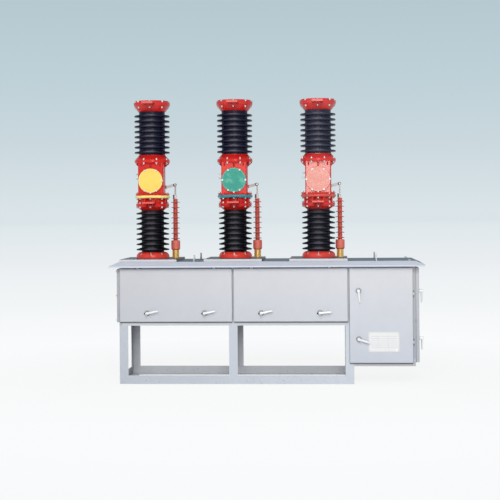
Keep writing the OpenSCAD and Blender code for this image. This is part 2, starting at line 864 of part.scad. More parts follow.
// Pedestal bearing on the linkage floor, bored for the shaft
module bearing() {
    bearing_w = 50;
    bearing_r = 45;
    foot_w = 130;
    bearing_foot_h = 12;
    low = floor_z + frame_t;
    difference() {
        union() {
            translate([-bearing_w / 2, shaft_y, shaft_z]) rotate([0, 90, 0])
                cylinder(r = bearing_r, h = bearing_w);
            block([-bearing_w / 2, shaft_y - bearing_r, low], [bearing_w / 2, shaft_y + bearing_r, shaft_z]);
            block([-bearing_w / 2, shaft_y - foot_w / 2, low],
                  [bearing_w / 2, shaft_y + foot_w / 2, low + bearing_foot_h]);
        }
        translate([-bearing_w, shaft_y, shaft_z]) rotate([0, 90, 0])
            cylinder(r = shaft_r + run_fit, h = 2 * bearing_w);
    }
}

// Cross shaft on three bearings, with a fork lever under each pole
module main_shaft() {
    x0 = pole_x[0] - 70;
    color(STEEL) {
        translate([x0, shaft_y, shaft_z]) rotate([0, 90, 0]) cylinder(r = shaft_r, h = gear_x - x0);
        for (x = pole_x) translate([x, 0, shaft_z]) crank();
    }
    color(SLATE) for (x = [pole_x[0] + 120, pole_x[1] + 120, pole_x[2] + 120]) translate([x, 0, 0]) bearing();
}

// Rod with an eye between the fork's cheeks, an adjusting nut and a locknut
module pull_rods() {
    eye_r = 18;
    nut_r = 21;
    adjuster_z = 60;
    adjuster_h = 40;
    locknut_z = 108;
    locknut_h = 14;
    color(STEEL) for (x = pole_x) translate([x, 0, shaft_z]) {
        difference() {
            union() {
                translate([-eye_t / 2, 0, 0]) rotate([0, 90, 0]) cylinder(r = eye_r, h = eye_t);
                cylinder(r = rod_r, h = frame_top - shaft_z);
            }
            translate([-eye_t, 0, 0]) rotate([0, 90, 0]) cylinder(r = crank_pin_r + run_fit, h = 2 * eye_t);
        }
        translate([0, 0, adjuster_z]) cylinder(r = nut_r, h = adjuster_h, $fn = 6);
        translate([0, 0, locknut_z]) cylinder(r = nut_r, h = locknut_h, $fn = 6);
    }
}

// ---- Poles ----

// One shed of a turned profile: fillet, flat underside to the rounded tip, sloping top, fillet.
// z is the height of its root's middle, half the root's half thickness, droop the tip's drop below z.
function shed(core, tip, z, half, droop, edge, fillet) = concat(
    arc([core + fillet, z - half - fillet], fillet, 180, 100, 3),
    arc([tip - edge, z - droop], edge, -75, 75, 5),
    arc([core + fillet, z + half + fillet], fillet, 260, 180, 3)
);

// Insulator between two castings: first and last are the tips' distances from its ends
module insulator(z0, h, core, tip, first, last, half, droop, edge, fillet) {
    pitch = (h - first - last) / (sheds - 1);
    z1 = z0 + first + droop;
    turned(concat(
        [[0, z0], [core, z0]],
        [for (i = [0:sheds - 1], p = shed(core, tip, z1 + i * pitch, half, droop, edge, fillet)) p],
        [[core, z0 + h], [0, z0 + h]]
    ));
}

// Round seats for bolt heads or nuts, sunk into a sloping casting on the bolt circle
module seats(r, low, high, first = 0) {
    around(flange_bolts, r, first) translate([0, 0, low]) cylinder(r = seat_r, h = high - low);
}

module base_flanges() {
    dome_r = base_r - lower_core_r - 2;
    dome_z = base_h - dome_r;
    seat_z = 14;
    color(RED) for (x = pole_x) translate([x, 0, platform_z]) difference() {
        turned(concat([[0, 0], [base_r - 2, 0], [base_r, 2]],
                      arc([base_r - dome_r, dome_z], dome_r, 0, 84, 8), [[0, base_h]]));
        seats(base_r - seat_r - 3, seat_z, base_h + 1, front_turn);
    }
}

module lower_insulator(x) {
    color(BLACK) translate([x, 0, 0])
        insulator(lower_z, lower_h, lower_core_r, lower_shed_r, 20, 30, 12, 4, 6, 4);
}

// Flat drilled terminal pad reaching forward from a casting
module terminal_pad(width, t, root_y, reach) {
    hole_in = 22;
    difference() {
        block([-width / 2, -reach, 0], [width / 2, -root_y, t]);
        for (dx = [-1, 1], dy = [0, 1])
            translate([dx * pad_pitch / 2, -reach + hole_in + dy * pad_pitch, -1])
                cylinder(r = pad_hole_r, h = t + 2);
    }
}

// Upright web along -Y at a distance from the centre plane, from an outline of [distance forward, height]
module web(x, t, points) {
    translate([x - t / 2, 0, 0]) rotate([90, 0, 90]) linear_extrude(t) mirror([1, 0]) polygon(points);
}

module lower_terminal(x) {
    neck_r = 110;
    rim = 8;
    web_t = 10;
    web_reach = 200;
    rib_t = 12;
    rib_r = ring_r - 21;
    color(RED) translate([x, 0, terminal_z]) {
        difference() {
            turned(concat([[0, 0], [lower_core_r + 3, 0], [terminal_r - rim / 2, lower_bell_h]],
                          arc([terminal_r - rim, lower_bell_h + rim + 4], rim, -50, 0, 3),
                          arc([terminal_r - rim, lower_flange_h - rim], rim, 0, 60, 3),
                          [[bolt_r - rim, lower_flange_h], [neck_r, lower_flange_h], [neck_r, terminal_h],
                           [0, terminal_h]]));
            seats(bolt_r, -1, lower_bell_h + 2, front_turn);
        }
        for (i = [0:flange_bolts - 1]) rotate([0, 0, front_turn + half_bolt + i * 2 * half_bolt])
            block([neck_r - 4, -rib_t / 2, lower_flange_h - 1], [rib_r, rib_t / 2, terminal_h]);
        translate([0, 0, lower_pad_h]) terminal_pad(lower_pad_w, lower_pad_t, neck_r - 20, lower_reach);
        for (s = [-1, 1]) {
            web(s * (lower_pad_w / 2 - web_t / 2), web_t,
                [[neck_r - 10, terminal_h], [ring_r - 6, terminal_h], [web_reach, lower_pad_h + lower_pad_t],
                 [neck_r - 10, lower_pad_h]]);
            web(s * (lower_pad_w / 2 - 2 * web_t), web_t,
                [[neck_r - 10, lower_pad_h], [web_reach, lower_pad_h], [bolt_r, lower_bell_h - 6],
                 [neck_r - 10, 14]]);
        }
    }
}

module phase_ring(i) {
    rim = ring_t / 2;
    color(PHASE_COLOURS[i]) translate([pole_x[i], 0, ring_z])
        turned(concat([[0, 0]], arc([ring_r - rim, rim], rim, -90, 90, 10), [[0, ring_t]]));
}

// Gusset under the upper flange, along +X from the wall at x0 to the flange's edge at x1
module gusset(x0, x1) {
    gusset_h = 40;
    gusset_t = 12;
    toe = 5;
    translate([0, gusset_t / 2, upper_flange_h]) rotate([90, 0, 0]) linear_extrude(gusset_t)
        polygon([[x0 - toe, 0.5], [x1, 0.5], [x1, -toe], [x0, -gusset_h], [x0 - toe, -gusset_h]]);
}

// Housing body: round at the back, flat in front with rounded corners
module housing_body() {
    side_x = flat_w / 2 + corner_r;
    top = upper_flange_h + 1;
    cylinder(r = housing_r, h = top, $fn = 96);
    block([-side_x, corner_r - flat_y, 0], [side_x, 0, top]);
    block([-flat_w / 2, -flat_y, 0], [flat_w / 2, 0, top]);
    for (s = [-1, 1]) translate([s * flat_w / 2, corner_r - flat_y, 0]) cylinder(r = corner_r, h = top);
}

module crank_housing(x) {
    edge = 4;
    shoulder = 8;
    rib_x = 79;
    stud_r = 5;
    stud_out = 26;
    seat_z = upper_flange_h + upper_flange_t + 4;
    color(RED) translate([x, 0, housing_z]) {
        housing_body();
        turned(concat([[0, 0], [ring_r - 8, 0]],
                      arc([ring_r - 4 - edge, foot_flange_h - edge], edge, 0, 90, 3),
                      [[housing_r + 8, foot_flange_h], [housing_r, foot_flange_h + 10],
                       [0, foot_flange_h + 10]]));
        difference() {
            turned(concat([[0, upper_flange_h], [flange_r - edge, upper_flange_h]],
                          arc([flange_r - edge, upper_flange_h + edge], edge, -60, 0, 3),
                          arc([flange_r - shoulder, upper_flange_h + upper_flange_t], shoulder, 0, 50, 3),
                          [[upper_core_r + 4, housing_h - 4], [upper_core_r + 4, housing_h],
                           [0, housing_h]]));
            seats(flange_r - 9, seat_z, housing_h, front_turn + half_bolt);
        }
        translate([0, 0, disc_h]) rotate([90, 0, 0])
            cylinder(r = disc_r + 1, h = flat_y + disc_boss, $fn = 96);
        for (s = [-1, 0, 1]) translate([s * rib_x, 0, 0]) rotate([0, 0, front_turn])
            gusset(flat_y, sqrt(pow(flange_r - edge, 2) - pow(s * rib_x, 2)));
        for (a = [0:45:180]) rotate([0, 0, a]) gusset(housing_r - 1, flange_r - edge);
        for (h = [140, 178]) translate([-housing_r - stud_out, 0, h]) rotate([0, 90, 0])
            cylinder(r = stud_r, h = stud_out + stud_r);
        rotate([0, 0, link_angle])
            block([housing_r - 10, -bar_t, link_h - bar_h / 2 - 2],
                  [housing_r + lug_out, bar_t, link_h + bar_h / 2 + 2]);
    }
}

// Round cover with a bevelled rim round a shallow sunk face
module phase_cover(i) {
    bevel = 3;
    rim_w = 10;
    sink = 1.5;
    color(PHASE_COLOURS[i]) translate([pole_x[i], -flat_y - disc_boss, housing_z + disc_h]) rotate([90, 0, 0])
        turned([[0, 0], [disc_r, 0], [disc_r, disc_t - bevel], [disc_r - bevel, disc_t],
                [disc_r - rim_w, disc_t], [disc_r - rim_w - sink, disc_t - sink], [0, disc_t - sink]]);
}

module upper_insulator(x) {
    color(BLACK) translate([x, 0, 0])
        insulator(upper_z, upper_h, upper_core_r, upper_shed_r, 21, 38, 11.5, 1, 8, 4);
}

module terminal_cap(x) {
    edge = 4;
    crown_in = 12;
    boss_r = 60;
    notch_r = 15;
    color(RED) translate([x, 0, cap_z]) {
        difference() {
            turned(concat([[0, 0], [upper_core_r + 6, 0], [cap_r - 1, cap_bell_h], [cap_r, cap_bell_h + 2]],
                          arc([cap_r - edge, cap_rim_h - edge], edge, 0, 90, 4),
                          [[cap_r - crown_in, cap_rim_h], [cap_r - crown_in, cap_crown_h],
                           [boss_r + 14, cap_crown_h], [boss_r, cap_h], [0, cap_h]]));
            around(flange_bolts, cap_r - crown_in + 3, front_turn) translate([0, 0, cap_rim_h - 2])
                cylinder(r = notch_r, h = cap_h);
            seats(cap_r - seat_r - 2, -1, cap_seat_h, front_turn);
        }
        translate([0, 0, upper_pad_h]) terminal_pad(upper_pad_w, upper_pad_t, upper_core_r - 9, upper_reach);
    }
}

// ---- Voltage sensors ----

module at_sensors() {
    for (x = pole_x) translate([x + sensor_dx, sensor_dy, 0]) children();
}

module sensor_feet() {
    flange_h = 7;
    color(BRASS) at_sensors() translate([0, 0, platform_z])
        turned([[0, 0], [foot_r + 5, 0], [foot_r + 5, flange_h], [foot_r, flange_h + 2], [foot_r, foot_h],
                [0, foot_h]]);
}

// Post with a thick boot at the bottom and large sheds that alternate with small ones
module sensor_posts() {
    z0 = platform_z + foot_h;
    boot_h = 82;
    boot_r = 38;
    core = 18.5;
    small_r = 22;
    neck = 7;
    pairs = 8;
    pitch = (post_h - boot_h) / pairs;
    color(SILICONE) at_sensors() turned(concat(
        [[0, z0], [foot_r, z0], [boot_r, z0 + 10]],
        arc([boot_r - neck, z0 + boot_h - neck], neck, 0, 90, 4), [[core, z0 + boot_h]],
        [for (i = [0:pairs - 1], p = concat(
            shed(core, sensor_shed_r, z0 + boot_h + (i + 0.4) * pitch, 4, 3, 2.2, 2),
            shed(core, small_r, z0 + boot_h + (i + 0.87) * pitch, 2.5, 1, 1.6, 1.5))) p],
        [[core, z0 + post_h], [0, z0 + post_h]]));
}

// Top fitting with a side clamp, upright strap, knob bolt and the flat bar back to the housing's lug
module sensor_links() {
    z0 = platform_z + foot_h + post_h;
    fitting_r = 10;
    fitting_h = 38;
    strap_w = 13;
    clamp = [11, 16, 34];
    bar_l = norm([sensor_dx, sensor_dy]);
    color(STEEL) {
        at_sensors() {
            translate([0, 0, z0]) cylinder(r = fitting_r, h = fitting_h);
            translate([-fitting_r - clamp[0] + 1, -clamp[1] / 2, z0 + 2]) cube(clamp);
            block([-strap_w / 2, -bar_t / 2, z0 + fitting_h - 1], [strap_w / 2, bar_t / 2, knob_z]);
            translate([0, 8, knob_z]) rotate([90, 0, 0]) cylinder(r = knob_r, h = 20);
        }
        for (x = pole_x) translate([x, 0, 0]) rotate([0, 0, link_angle])
            translate([0, bar_t / 2, 0]) rotate([90, 0, 0]) linear_extrude(bar_t)
                polygon([[housing_r + lug_out, link_z - bar_h / 2], [bar_l, knob_z - bar_h / 2],
                         [bar_l, knob_z + bar_h / 2], [housing_r + lug_out, link_z + bar_h / 2]]);
    }
}

stand_base();
stand_legs();
linkage_floor();
mechanism_tray();
box_posts();
top_frame();
roof_beams();
roof();
pole_platforms();
lifting_lugs();
back_covers();
left_end_cover();
left_cover();
right_cover();
mechanism_door();
end_door();
hinge_pins();
rating_plate();
left_cover_roses();
right_cover_roses();
mechanism_door_roses();
end_door_roses();
on_front(left_handle_x[0], lid_handle_z) lever_handle(12);  // left_cover_handle_1
on_front(left_handle_x[1], lid_handle_z) lever_handle(12);  // left_cover_handle_2
on_front(right_handle_x[0], lid_handle_z) lever_handle(12);  // right_cover_handle_1
on_front(right_handle_x[1], lid_handle_z) lever_handle(5);  // right_cover_handle_2
on_front(door_handle_x, door_handle_z[1]) lever_handle(-84);  // mechanism_door_handle_upper
on_front(door_handle_x, door_handle_z[0]) lever_handle(-18);  // mechanism_door_handle_lower
on_end(end_handle_y, end_handle_z[1]) lever_handle(-90);  // end_door_handle_upper
on_end(end_handle_y, end_handle_z[0]) lever_handle(-90);  // end_door_handle_lower
operating_mechanism();
main_shaft();
pull_rods();
base_flanges();
for (i = [0:2]) {
    lower_insulator(pole_x[i]);
    lower_terminal(pole_x[i]);
    phase_ring(i);
    crank_housing(pole_x[i]);
    phase_cover(i);
    upper_insulator(pole_x[i]);
    terminal_cap(pole_x[i]);
}
sensor_feet();
sensor_posts();
sensor_links();
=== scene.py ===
import json
import math

import bmesh
import bpy
import numpy as np
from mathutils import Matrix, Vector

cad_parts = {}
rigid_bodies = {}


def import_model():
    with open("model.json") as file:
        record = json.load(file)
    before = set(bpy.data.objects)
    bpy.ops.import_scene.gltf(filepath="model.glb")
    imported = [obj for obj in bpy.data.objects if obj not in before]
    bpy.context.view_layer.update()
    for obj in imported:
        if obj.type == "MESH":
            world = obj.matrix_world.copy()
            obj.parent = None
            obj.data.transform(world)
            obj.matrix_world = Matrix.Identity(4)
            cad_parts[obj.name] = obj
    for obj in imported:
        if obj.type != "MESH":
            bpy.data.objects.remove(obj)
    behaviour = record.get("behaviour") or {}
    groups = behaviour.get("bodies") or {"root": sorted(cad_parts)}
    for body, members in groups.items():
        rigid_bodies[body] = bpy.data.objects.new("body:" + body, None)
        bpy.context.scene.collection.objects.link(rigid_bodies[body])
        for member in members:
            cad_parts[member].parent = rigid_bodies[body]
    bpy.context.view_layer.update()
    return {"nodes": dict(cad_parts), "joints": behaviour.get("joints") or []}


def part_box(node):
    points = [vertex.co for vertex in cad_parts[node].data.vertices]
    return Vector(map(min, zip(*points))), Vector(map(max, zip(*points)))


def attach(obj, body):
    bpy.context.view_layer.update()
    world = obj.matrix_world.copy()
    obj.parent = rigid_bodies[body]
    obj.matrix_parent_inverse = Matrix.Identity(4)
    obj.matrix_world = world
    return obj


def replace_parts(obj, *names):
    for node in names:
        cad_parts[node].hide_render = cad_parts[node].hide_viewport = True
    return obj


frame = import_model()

# ---- Stand -------------------------------------------------------------------------------------
# A welded base frame and six legs of 70 mm angle iron, which carry the box clear of the ground.
# The steel is blasted and sprayed with two coats of pale blue-grey paint, scuffed near the ground;
# the joints are fillet welds ground only roughly, so a soft bead shows where each leg meets a rail.


def tone(red, green, blue):
    """Linear colour of display levels from 0 to 255, by the power curve that displays use."""
    levels = (np.array((red, green, blue)) / 255 + 0.055) / 1.055
    return tuple((levels ** 2.4).tolist())


class Value:
    """A socket in a node tree. An expression on values adds its Math nodes; a | b is the greater."""

    def __init__(self, graph, socket):
        self.graph = graph
        self.socket = socket

    def math(self, operation, *others):
        """A Math node of an operation on this value and others."""
        return self.graph.add("ShaderNodeMath", {"operation": operation}, dict(enumerate((self,) + others)))

    def clamped(self):
        """This value, held between 0 and 1."""
        return self.graph.add("ShaderNodeClamp", {}, {0: self})

    def between(self, low, high):
        """1 where this value lies between two limits and 0 elsewhere."""
        return (self > low) * (self < high)

    def __add__(self, other):
        return self.math("ADD", other)

    def __mul__(self, other):
        return self.math("MULTIPLY", other)

    def __sub__(self, other):
        return self.math("SUBTRACT", other)

    def __rsub__(self, other):
        return self.graph.add("ShaderNodeMath", {"operation": "SUBTRACT"}, {0: other, 1: self})

    def __pow__(self, other):
        return self.math("POWER", other)

    def __abs__(self):
        return self.math("ABSOLUTE")

    def __or__(self, other):
        return self.math("MAXIMUM", other)

    def __gt__(self, other):
        return self.math("GREATER_THAN", other)

    def __lt__(self, other):
        return self.math("LESS_THAN", other)

    __radd__ = __add__
    __rmul__ = __mul__


class Graph:
    """A node tree. add() makes every node in it."""

    def __init__(self, tree):
        self.tree = tree

    def add(self, kind, settings, sockets, output=0):
        """Node of a kind: its settings are set first, then each socket gets a value or a link."""
        node = self.tree.nodes.new(kind)
        for key, setting in settings.items():
            if key == "stops":
                elements = node.color_ramp.elements
                elements[0].position, elements[1].position = setting[0][0], setting[-1][0]
                for position, _ in setting[1:-1]:
                    elements.new(position)
                for element, (_, colour) in zip(elements, setting):
                    element.color = (*colour, 1)
            else:
                setattr(node, key, setting)
        shown = [s for s in node.inputs if s.enabled]
        for key, item in sockets.items():
            by_place = isinstance(key, int)
            self.feed(shown[key] if by_place else next(s for s in shown if s.name == key), item)
        outputs = [s for s in node.outputs if s.enabled and output in (s.name, 0)]
        return Value(self, outputs[0]) if outputs else None

    def feed(self, socket, item):
        """Links a value to a socket, or sets the socket to a number, a vector or a colour."""
        if isinstance(item, Value):
            self.tree.links.new(item.socket, socket)
        elif socket.type == "RGBA":
            socket.default_value = (*item, 1)
        else:
            socket.default_value = item

    def mix(self, factor, low, high):
        """Colour between low and high."""
        return self.add("ShaderNodeMix", {"data_type": "RGBA"}, {"Factor": factor, "A": low, "B": high})

    def tinted(self, colour, shade):
        """A colour multiplied by a shade, grey or coloured."""
        settings = {"data_type": "RGBA", "blend_type": "MULTIPLY"}
        return self.add("ShaderNodeMix", settings, {"Factor": 1.0, "A": colour, "B": shade})

    def ramp(self, factor, stops):
        """Colour on a ramp whose stops are pairs of position and colour."""
        return self.add("ShaderNodeValToRGB", {"stops": stops}, {"Fac": factor}, "Color")

    def split(self, vector):
        """The three components of a vector."""
        first = self.add("ShaderNodeSeparateXYZ", {}, {"Vector": vector})
        return [Value(self, socket) for socket in first.socket.node.outputs]


class Finish(Graph):
    """A material round one Principled shader, with the piece's own coordinates in place."""

    def __init__(self, name, colour, roughness, metallic=0.0, coat=0.0, specular=0.5):
        self.material = bpy.data.materials.new(name)
        self.material.use_nodes = True
        super().__init__(self.material.node_tree)
        self.shader = self.tree.nodes["Principled BSDF"]
        self.colour = colour
        self.roughness = roughness
        self.set("Base Color", colour)
        self.set("Roughness", roughness)
        self.set("Metallic", metallic)
        self.set("Coat Weight", coat)
        self.set("Coat Roughness", 0.08)
        self.set("Specular IOR Level", specular)
        self.material.diffuse_color = (*colour, 1)
        self.place = self.add("ShaderNodeTexCoord", {}, {}, "Object")

    def set(self, name, item):
        """Feeds one of the shader's sockets."""
        self.feed(self.shader.inputs[name], item)

    def stretched(self, scale):
        """The piece's coordinates multiplied by a scale along each axis."""
        return self.add("ShaderNodeMapping", {}, {"Vector": self.place, "Scale": scale})

    def noise(self, scale, detail=3.0, rough=0.55, place=None):
        """Cloudy noise from 0 to 1, on the piece's own coordinates or on a place made from them."""
        sockets = {"Vector": place or self.place, "Scale": scale, "Detail": detail, "Roughness": rough}
        return self.add("ShaderNodeTexNoise", {}, sockets)

    def facing(self):
        """Components of the direction a face looks in."""
        return self.split(self.add("ShaderNodeNewGeometry", {}, {}, "Normal"))

    def surfaced(self, colour, roughness, height, distance):
        """The material, with its colour and roughness, raised by a height from 0 to 1 times a
        distance in metres."""
        sockets = {"Height": height, "Distance": distance, "Strength": 1.0}
        self.set("Normal", self.add("ShaderNodeBump", {}, sockets))
        self.set("Base Color", colour)
        self.set("Roughness", roughness)
        return self.material


DUST = tone(204, 202, 197)


def coat(finish, body=None, mottle=0.10, dust=0.10, peel=0.0002):
    """Sprayed paint: the body colour times a broad and a fine noise, a little pale dust on level
    faces and in upright streaks, roughness that rises with the dust, and the spray's fine ripple."""
    broad = finish.noise(2.3, 4.0)
    patches = finish.noise(11.0, 5.0, 0.6)
    streak = finish.noise(3.0, 4.0, 0.6, finish.stretched((9.0, 9.0, 0.7)))
    level = finish.facing()[2] | 0.0
    grime = (level * 0.7 + streak * 0.5) * dust
    shade = (broad + patches - 1) * mottle + 1
    dusty = finish.mix(grime, finish.tinted(body or finish.colour, shade), DUST)
    roughness = grime * 0.8 + (patches - 0.5) * 0.08 + finish.roughness
    return finish.surfaced(dusty, roughness, finish.noise(190.0, 2.0), peel)


def dress(material, *nodes):
    """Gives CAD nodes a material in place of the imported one."""
    for name in nodes:
        mesh = frame["nodes"][name].data
        mesh.materials.clear()
        mesh.materials.append(material)


def cells(rows, columns, closed=(False, False)):
    """Quads of a grid of points; a closed direction joins its last line to its first."""
    r, c = np.meshgrid(np.arange(rows - 1 + closed[0]), np.arange(columns - 1 + closed[1]), indexing="ij")
    down, across = (r + 1) % rows, (c + 1) % columns
    quads = [r * columns + c, r * columns + across, down * columns + across, down * columns + c]
    return np.stack(quads, -1).reshape(-1, 4)


def capped(rings):
    """Closed shells from stacks of rings, indexed by stack, ring and point: quads between the rings
    of a stack, and one face over each of its ends."""
    count, rows, columns = rings.shape[:3]
    start = np.arange(count)[:, None, None] * rows * columns
    turn = np.arange(columns)
    ends = np.stack([turn[::-1], turn + (rows - 1) * columns])
    quads = cells(rows, columns, (False, True))
    return rings.reshape(-1, 3), [(quads + start).reshape(-1, 4), (ends + start).reshape(-1, columns)]


def angles(count):
    """Angles at equal steps round a circle."""
    return np.linspace(0, 2 * np.pi, count, endpoint=False)


def placed(name, data):
    """New object that shows some data, linked into the scene."""
    item = bpy.data.objects.new(name, data)
    bpy.context.scene.collection.objects.link(item)
    return item


def solid(name, shells, material, body, crease=40):
    """Piece from closed shells, each its points and its groups of faces. Faces are turned outwards
    and shaded smooth, except across edges sharper than the crease angle."""
    starts = np.cumsum([0] + [len(points) for points, _ in shells])
    faces = [face for start, (_, groups) in zip(starts, shells)
             for group in groups for face in (group + start).tolist()]
    mesh = bpy.data.meshes.new(name)
    mesh.from_pydata(np.concatenate([points for points, _ in shells]).tolist(), [], faces)
    work = bmesh.new()
    work.from_mesh(mesh)
    bmesh.ops.recalc_face_normals(work, faces=work.faces)
    work.to_mesh(mesh)
    work.free()
    mesh.shade_smooth()
    mesh.set_sharp_from_angle(angle=math.radians(crease))
    mesh.materials.append(material)
    piece = placed(name, mesh)
    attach(piece, body)
    return piece


def square_to(axes):
    """Two unit directions square to each axis and to each other: the first is the axis crossed with
    the upright, or with the box's length where the axis itself is upright."""
    side = np.cross(axes, np.where(np.abs(axes[:, 2:]) > 0.9, [[1.0, 0, 0]], [[0, 0, 1.0]]))
    side /= np.linalg.norm(side, axis=1, keepdims=True)
    return side, np.cross(axes, side)


def beads(starts, ends, radius):
    """Weld beads: tubes of 8 sides from starts to ends, whose radius ripples by a tenth along the
    run and shrinks at both ends as the root of one less the eighth power of the distance from the
    middle, counted in half lengths."""
    starts, ends = np.asarray(starts, float), np.asarray(ends, float)
    t = np.linspace(0, 1, 14)
    along = ends - starts
    along /= np.linalg.norm(along, axis=1, keepdims=True)
    side, other = square_to(along)
    centre = starts[:, None] + (ends - starts)[:, None] * t[None, :, None]
    swell = radius * np.sqrt(np.clip(1 - (2 * t - 1) ** 8, 0.05, 1)) * (1 + 0.1 * np.sin(t * 60))
    turn = angles(8)
    ring = (side[:, None, None] * np.cos(turn)[None, None, :, None]
            + other[:, None, None] * np.sin(turn)[None, None, :, None])
    return capped(centre[:, :, None] + ring * swell[None, :, None, None])


def stand_coat():
    """Pale blue-grey paint, a little brighter towards the right as painted light. The back legs and rail
    carry painted shade, pale near the ground and grey towards the box above, darker still on the flanges
    that look right. It is scuffed and knocked off in small dark chips near the ground."""
    back_shade_from, chips_below, scuffs_below = 0.22, 0.10, 0.06
    finish = Finish("stand_paint", tone(205, 211, 220), 0.42)
    x, y, height = finish.split(finish.place)
    back = y > 0.1
    # Painted shade at the back: pale near the ground, grey towards the box above.
    back_shade = finish.mix(((height - back_shade_from) * 4.0).clamped(), tone(216, 218, 221), tone(122, 127, 130))
    # Painted light: the front brightens a little towards the right.
    paint = finish.mix(back * 0.85, finish.tinted(finish.colour, x * 0.09 + 0.97), back_shade)
    # Painted shade on the back flanges that look right.
    paint = finish.mix(back * (finish.facing()[0] > 0.9) * 0.8, paint, tone(88, 94, 100))
    chips = (finish.noise(70.0, 4.0, 0.65) > 0.66) * ((chips_below - height) * 10).clamped()
    scuffs = (finish.noise(24.0, 5.0, 0.7) > 0.64) * ((scuffs_below - height) * 12).clamped() * 0.5
    body = finish.mix(scuffs, paint, tone(176, 178, 180))
    return coat(finish, finish.mix(chips, body, tone(118, 112, 106)), dust=0.20)


stand_paint = stand_coat()
dress(stand_paint, "stand_base", "stand_legs")

legs_low, legs_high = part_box("stand_legs")
leg_a = 0.070
leg_t = 0.007
weld_from = 0.009
weld_to = leg_a - 0.002
weld_r = 0.004
mid_leg_x = -0.272
weld_starts, weld_ends = [], []
for y, inward in ((legs_low.y, 1), (legs_high.y, -1)):
    for x, aside in ((legs_low.x, 1), (mid_leg_x - leg_a / 2, 1), (legs_high.x, -1)):
        for z in (legs_low.z, legs_high.z):
            inner_x, inner_y = x + aside * leg_t, y + inward * leg_t
            weld_starts += [(x + aside * weld_from, inner_y, z), (inner_x, y + inward * weld_from, z)]
            weld_ends += [(x + aside * weld_to, inner_y, z), (inner_x, y + inward * weld_to, z)]
solid("stand_welds", [beads(weld_starts, weld_ends, weld_r)], stand_paint, "breaker")

# ---- Operating box -----------------------------------------------------------------------------
# Folded 4 mm sheet: a long floor tray, a deeper tray under the mechanism, posts and a top frame,
# all welded and painted light grey. The covers close against these flanges.


def up_the_box(z):
    """Share of the way up from the doors' lower edge to the covers' upper edge, from 0 to 1."""
    return ((z - 0.18) * 1.31).clamped()


def box_coat():
    """Light grey like the covers, a deeper grey of painted shade on the posts at both ends, cooler low down
    and warmer high up there as painted reflection, and beige underneath.
    """
    tray_floor, end_posts = 0.19, 1.184
    finish = Finish("box_paint", tone(201, 205, 211), 0.40)
    x, _, z = finish.split(finish.place)
    # Painted shade on the end posts, with a painted reflection: cool low down, warm high up.
    end = finish.mix(up_the_box(z), tone(172, 180, 190), tone(190, 188, 188))
    body = finish.mix((abs(x) > end_posts) * (z > tray_floor + 0.01), finish.colour, end)
    return coat(finish, finish.mix(z < tray_floor, body, tone(190, 189, 192)), dust=0.14)


box_paint = box_coat()
dress(box_paint, "linkage_floor", "mechanism_tray", "box_posts", "top_frame", "roof_beams")

# ---- Fasteners ---------------------------------------------------------------------------------
# Bright zinc-plated hexagon screws and nuts on plain washers, each run down by hand to its own
# angle. The plating has gone a little white in the open air.


def metal(finish_name, colour, roughness, grain=(1.0, 1.0, 1.0), depth=0.0001, tarnish=0.12, metallic=1.0):
    """Bare or plated metal: roughness and tone wander with a noise drawn out along the grain."""
    finish = Finish(finish_name, colour, roughness, metallic=metallic)
    lines = finish.noise(120.0, 3.0, 0.6, finish.stretched(grain))
    cloud = finish.noise(14.0, 4.0)
    dull = tuple(c * (1 - 2 * tarnish) for c in colour)
    worn = finish.mix(cloud * 0.7 + lines * 0.3, colour, dull)
    return finish.surfaced(worn, cloud * 0.12 + lines * 0.06 + roughness, lines, depth)


def fasteners(seats, across, thick, washer, stud=0.0, seed=1):
    """Hexagon heads or nuts on washers. Each row of seats is a point and an outward direction. A
    fastener is a stack of 12-point rings: the washer, the hexagon, whose radius is half its width
    across flats over the cosine of the angle from the nearest flat, its chamfer and a stud's end."""
    seats = np.asarray(seats, float)
    out = seats[:, 3:] / np.linalg.norm(seats[:, 3:], axis=1, keepdims=True)
    side, other = square_to(out)
    points = np.arange(12)
    from_flat = np.radians(np.where(points % 2 == 0, 30, 0))
    hexagon = across / 2 / np.cos(from_flat)
    washer_t, sunk, chamfer = 0.0022, -0.002, 0.15 * thick
    face_r, thread_r, tip_r = across * 0.46, across * 0.28, across * 0.26
    top = washer_t + thick
    profile = [(washer, sunk), (washer, washer_t), (hexagon, washer_t), (hexagon, top - chamfer),
               (face_r, top)]
    if stud:
        profile += [(thread_r, top), (tip_r, top + stud)]
    radii = np.stack([np.broadcast_to(radius, 12) for radius, _ in profile])
    heights = np.array([height for _, height in profile])
    twist = np.random.default_rng(seed).uniform(0, np.pi / 3, len(seats))
    angle = np.radians(30) * points[None] + twist[:, None]
    ring = (side[:, None] * np.cos(angle)[..., None] + other[:, None] * np.sin(angle)[..., None])
    rings = (seats[:, None, None, :3] + out[:, None, None] * heights[None, :, None, None]
             + ring[:, None] * radii[None, :, :, None])
    return capped(rings)


fastener_zinc = metal("fastener_zinc", tone(222, 222, 220), 0.36, tarnish=0.10, metallic=0.7)

# ---- Roof --------------------------------------------------------------------------------------
# A hipped cap of 3 mm sheet with welded pole platforms. The flat top, the end slopes and the platforms'
# tops are dark slate; the platforms' walls across the box are dark as painted shade and their fronts pale
# as painted light; the other slopes and the eaves are the pale blue-grey of the box, washed by rain.

roof_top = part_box("roof")[1].z
platform_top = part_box("pole_platforms")[1].z


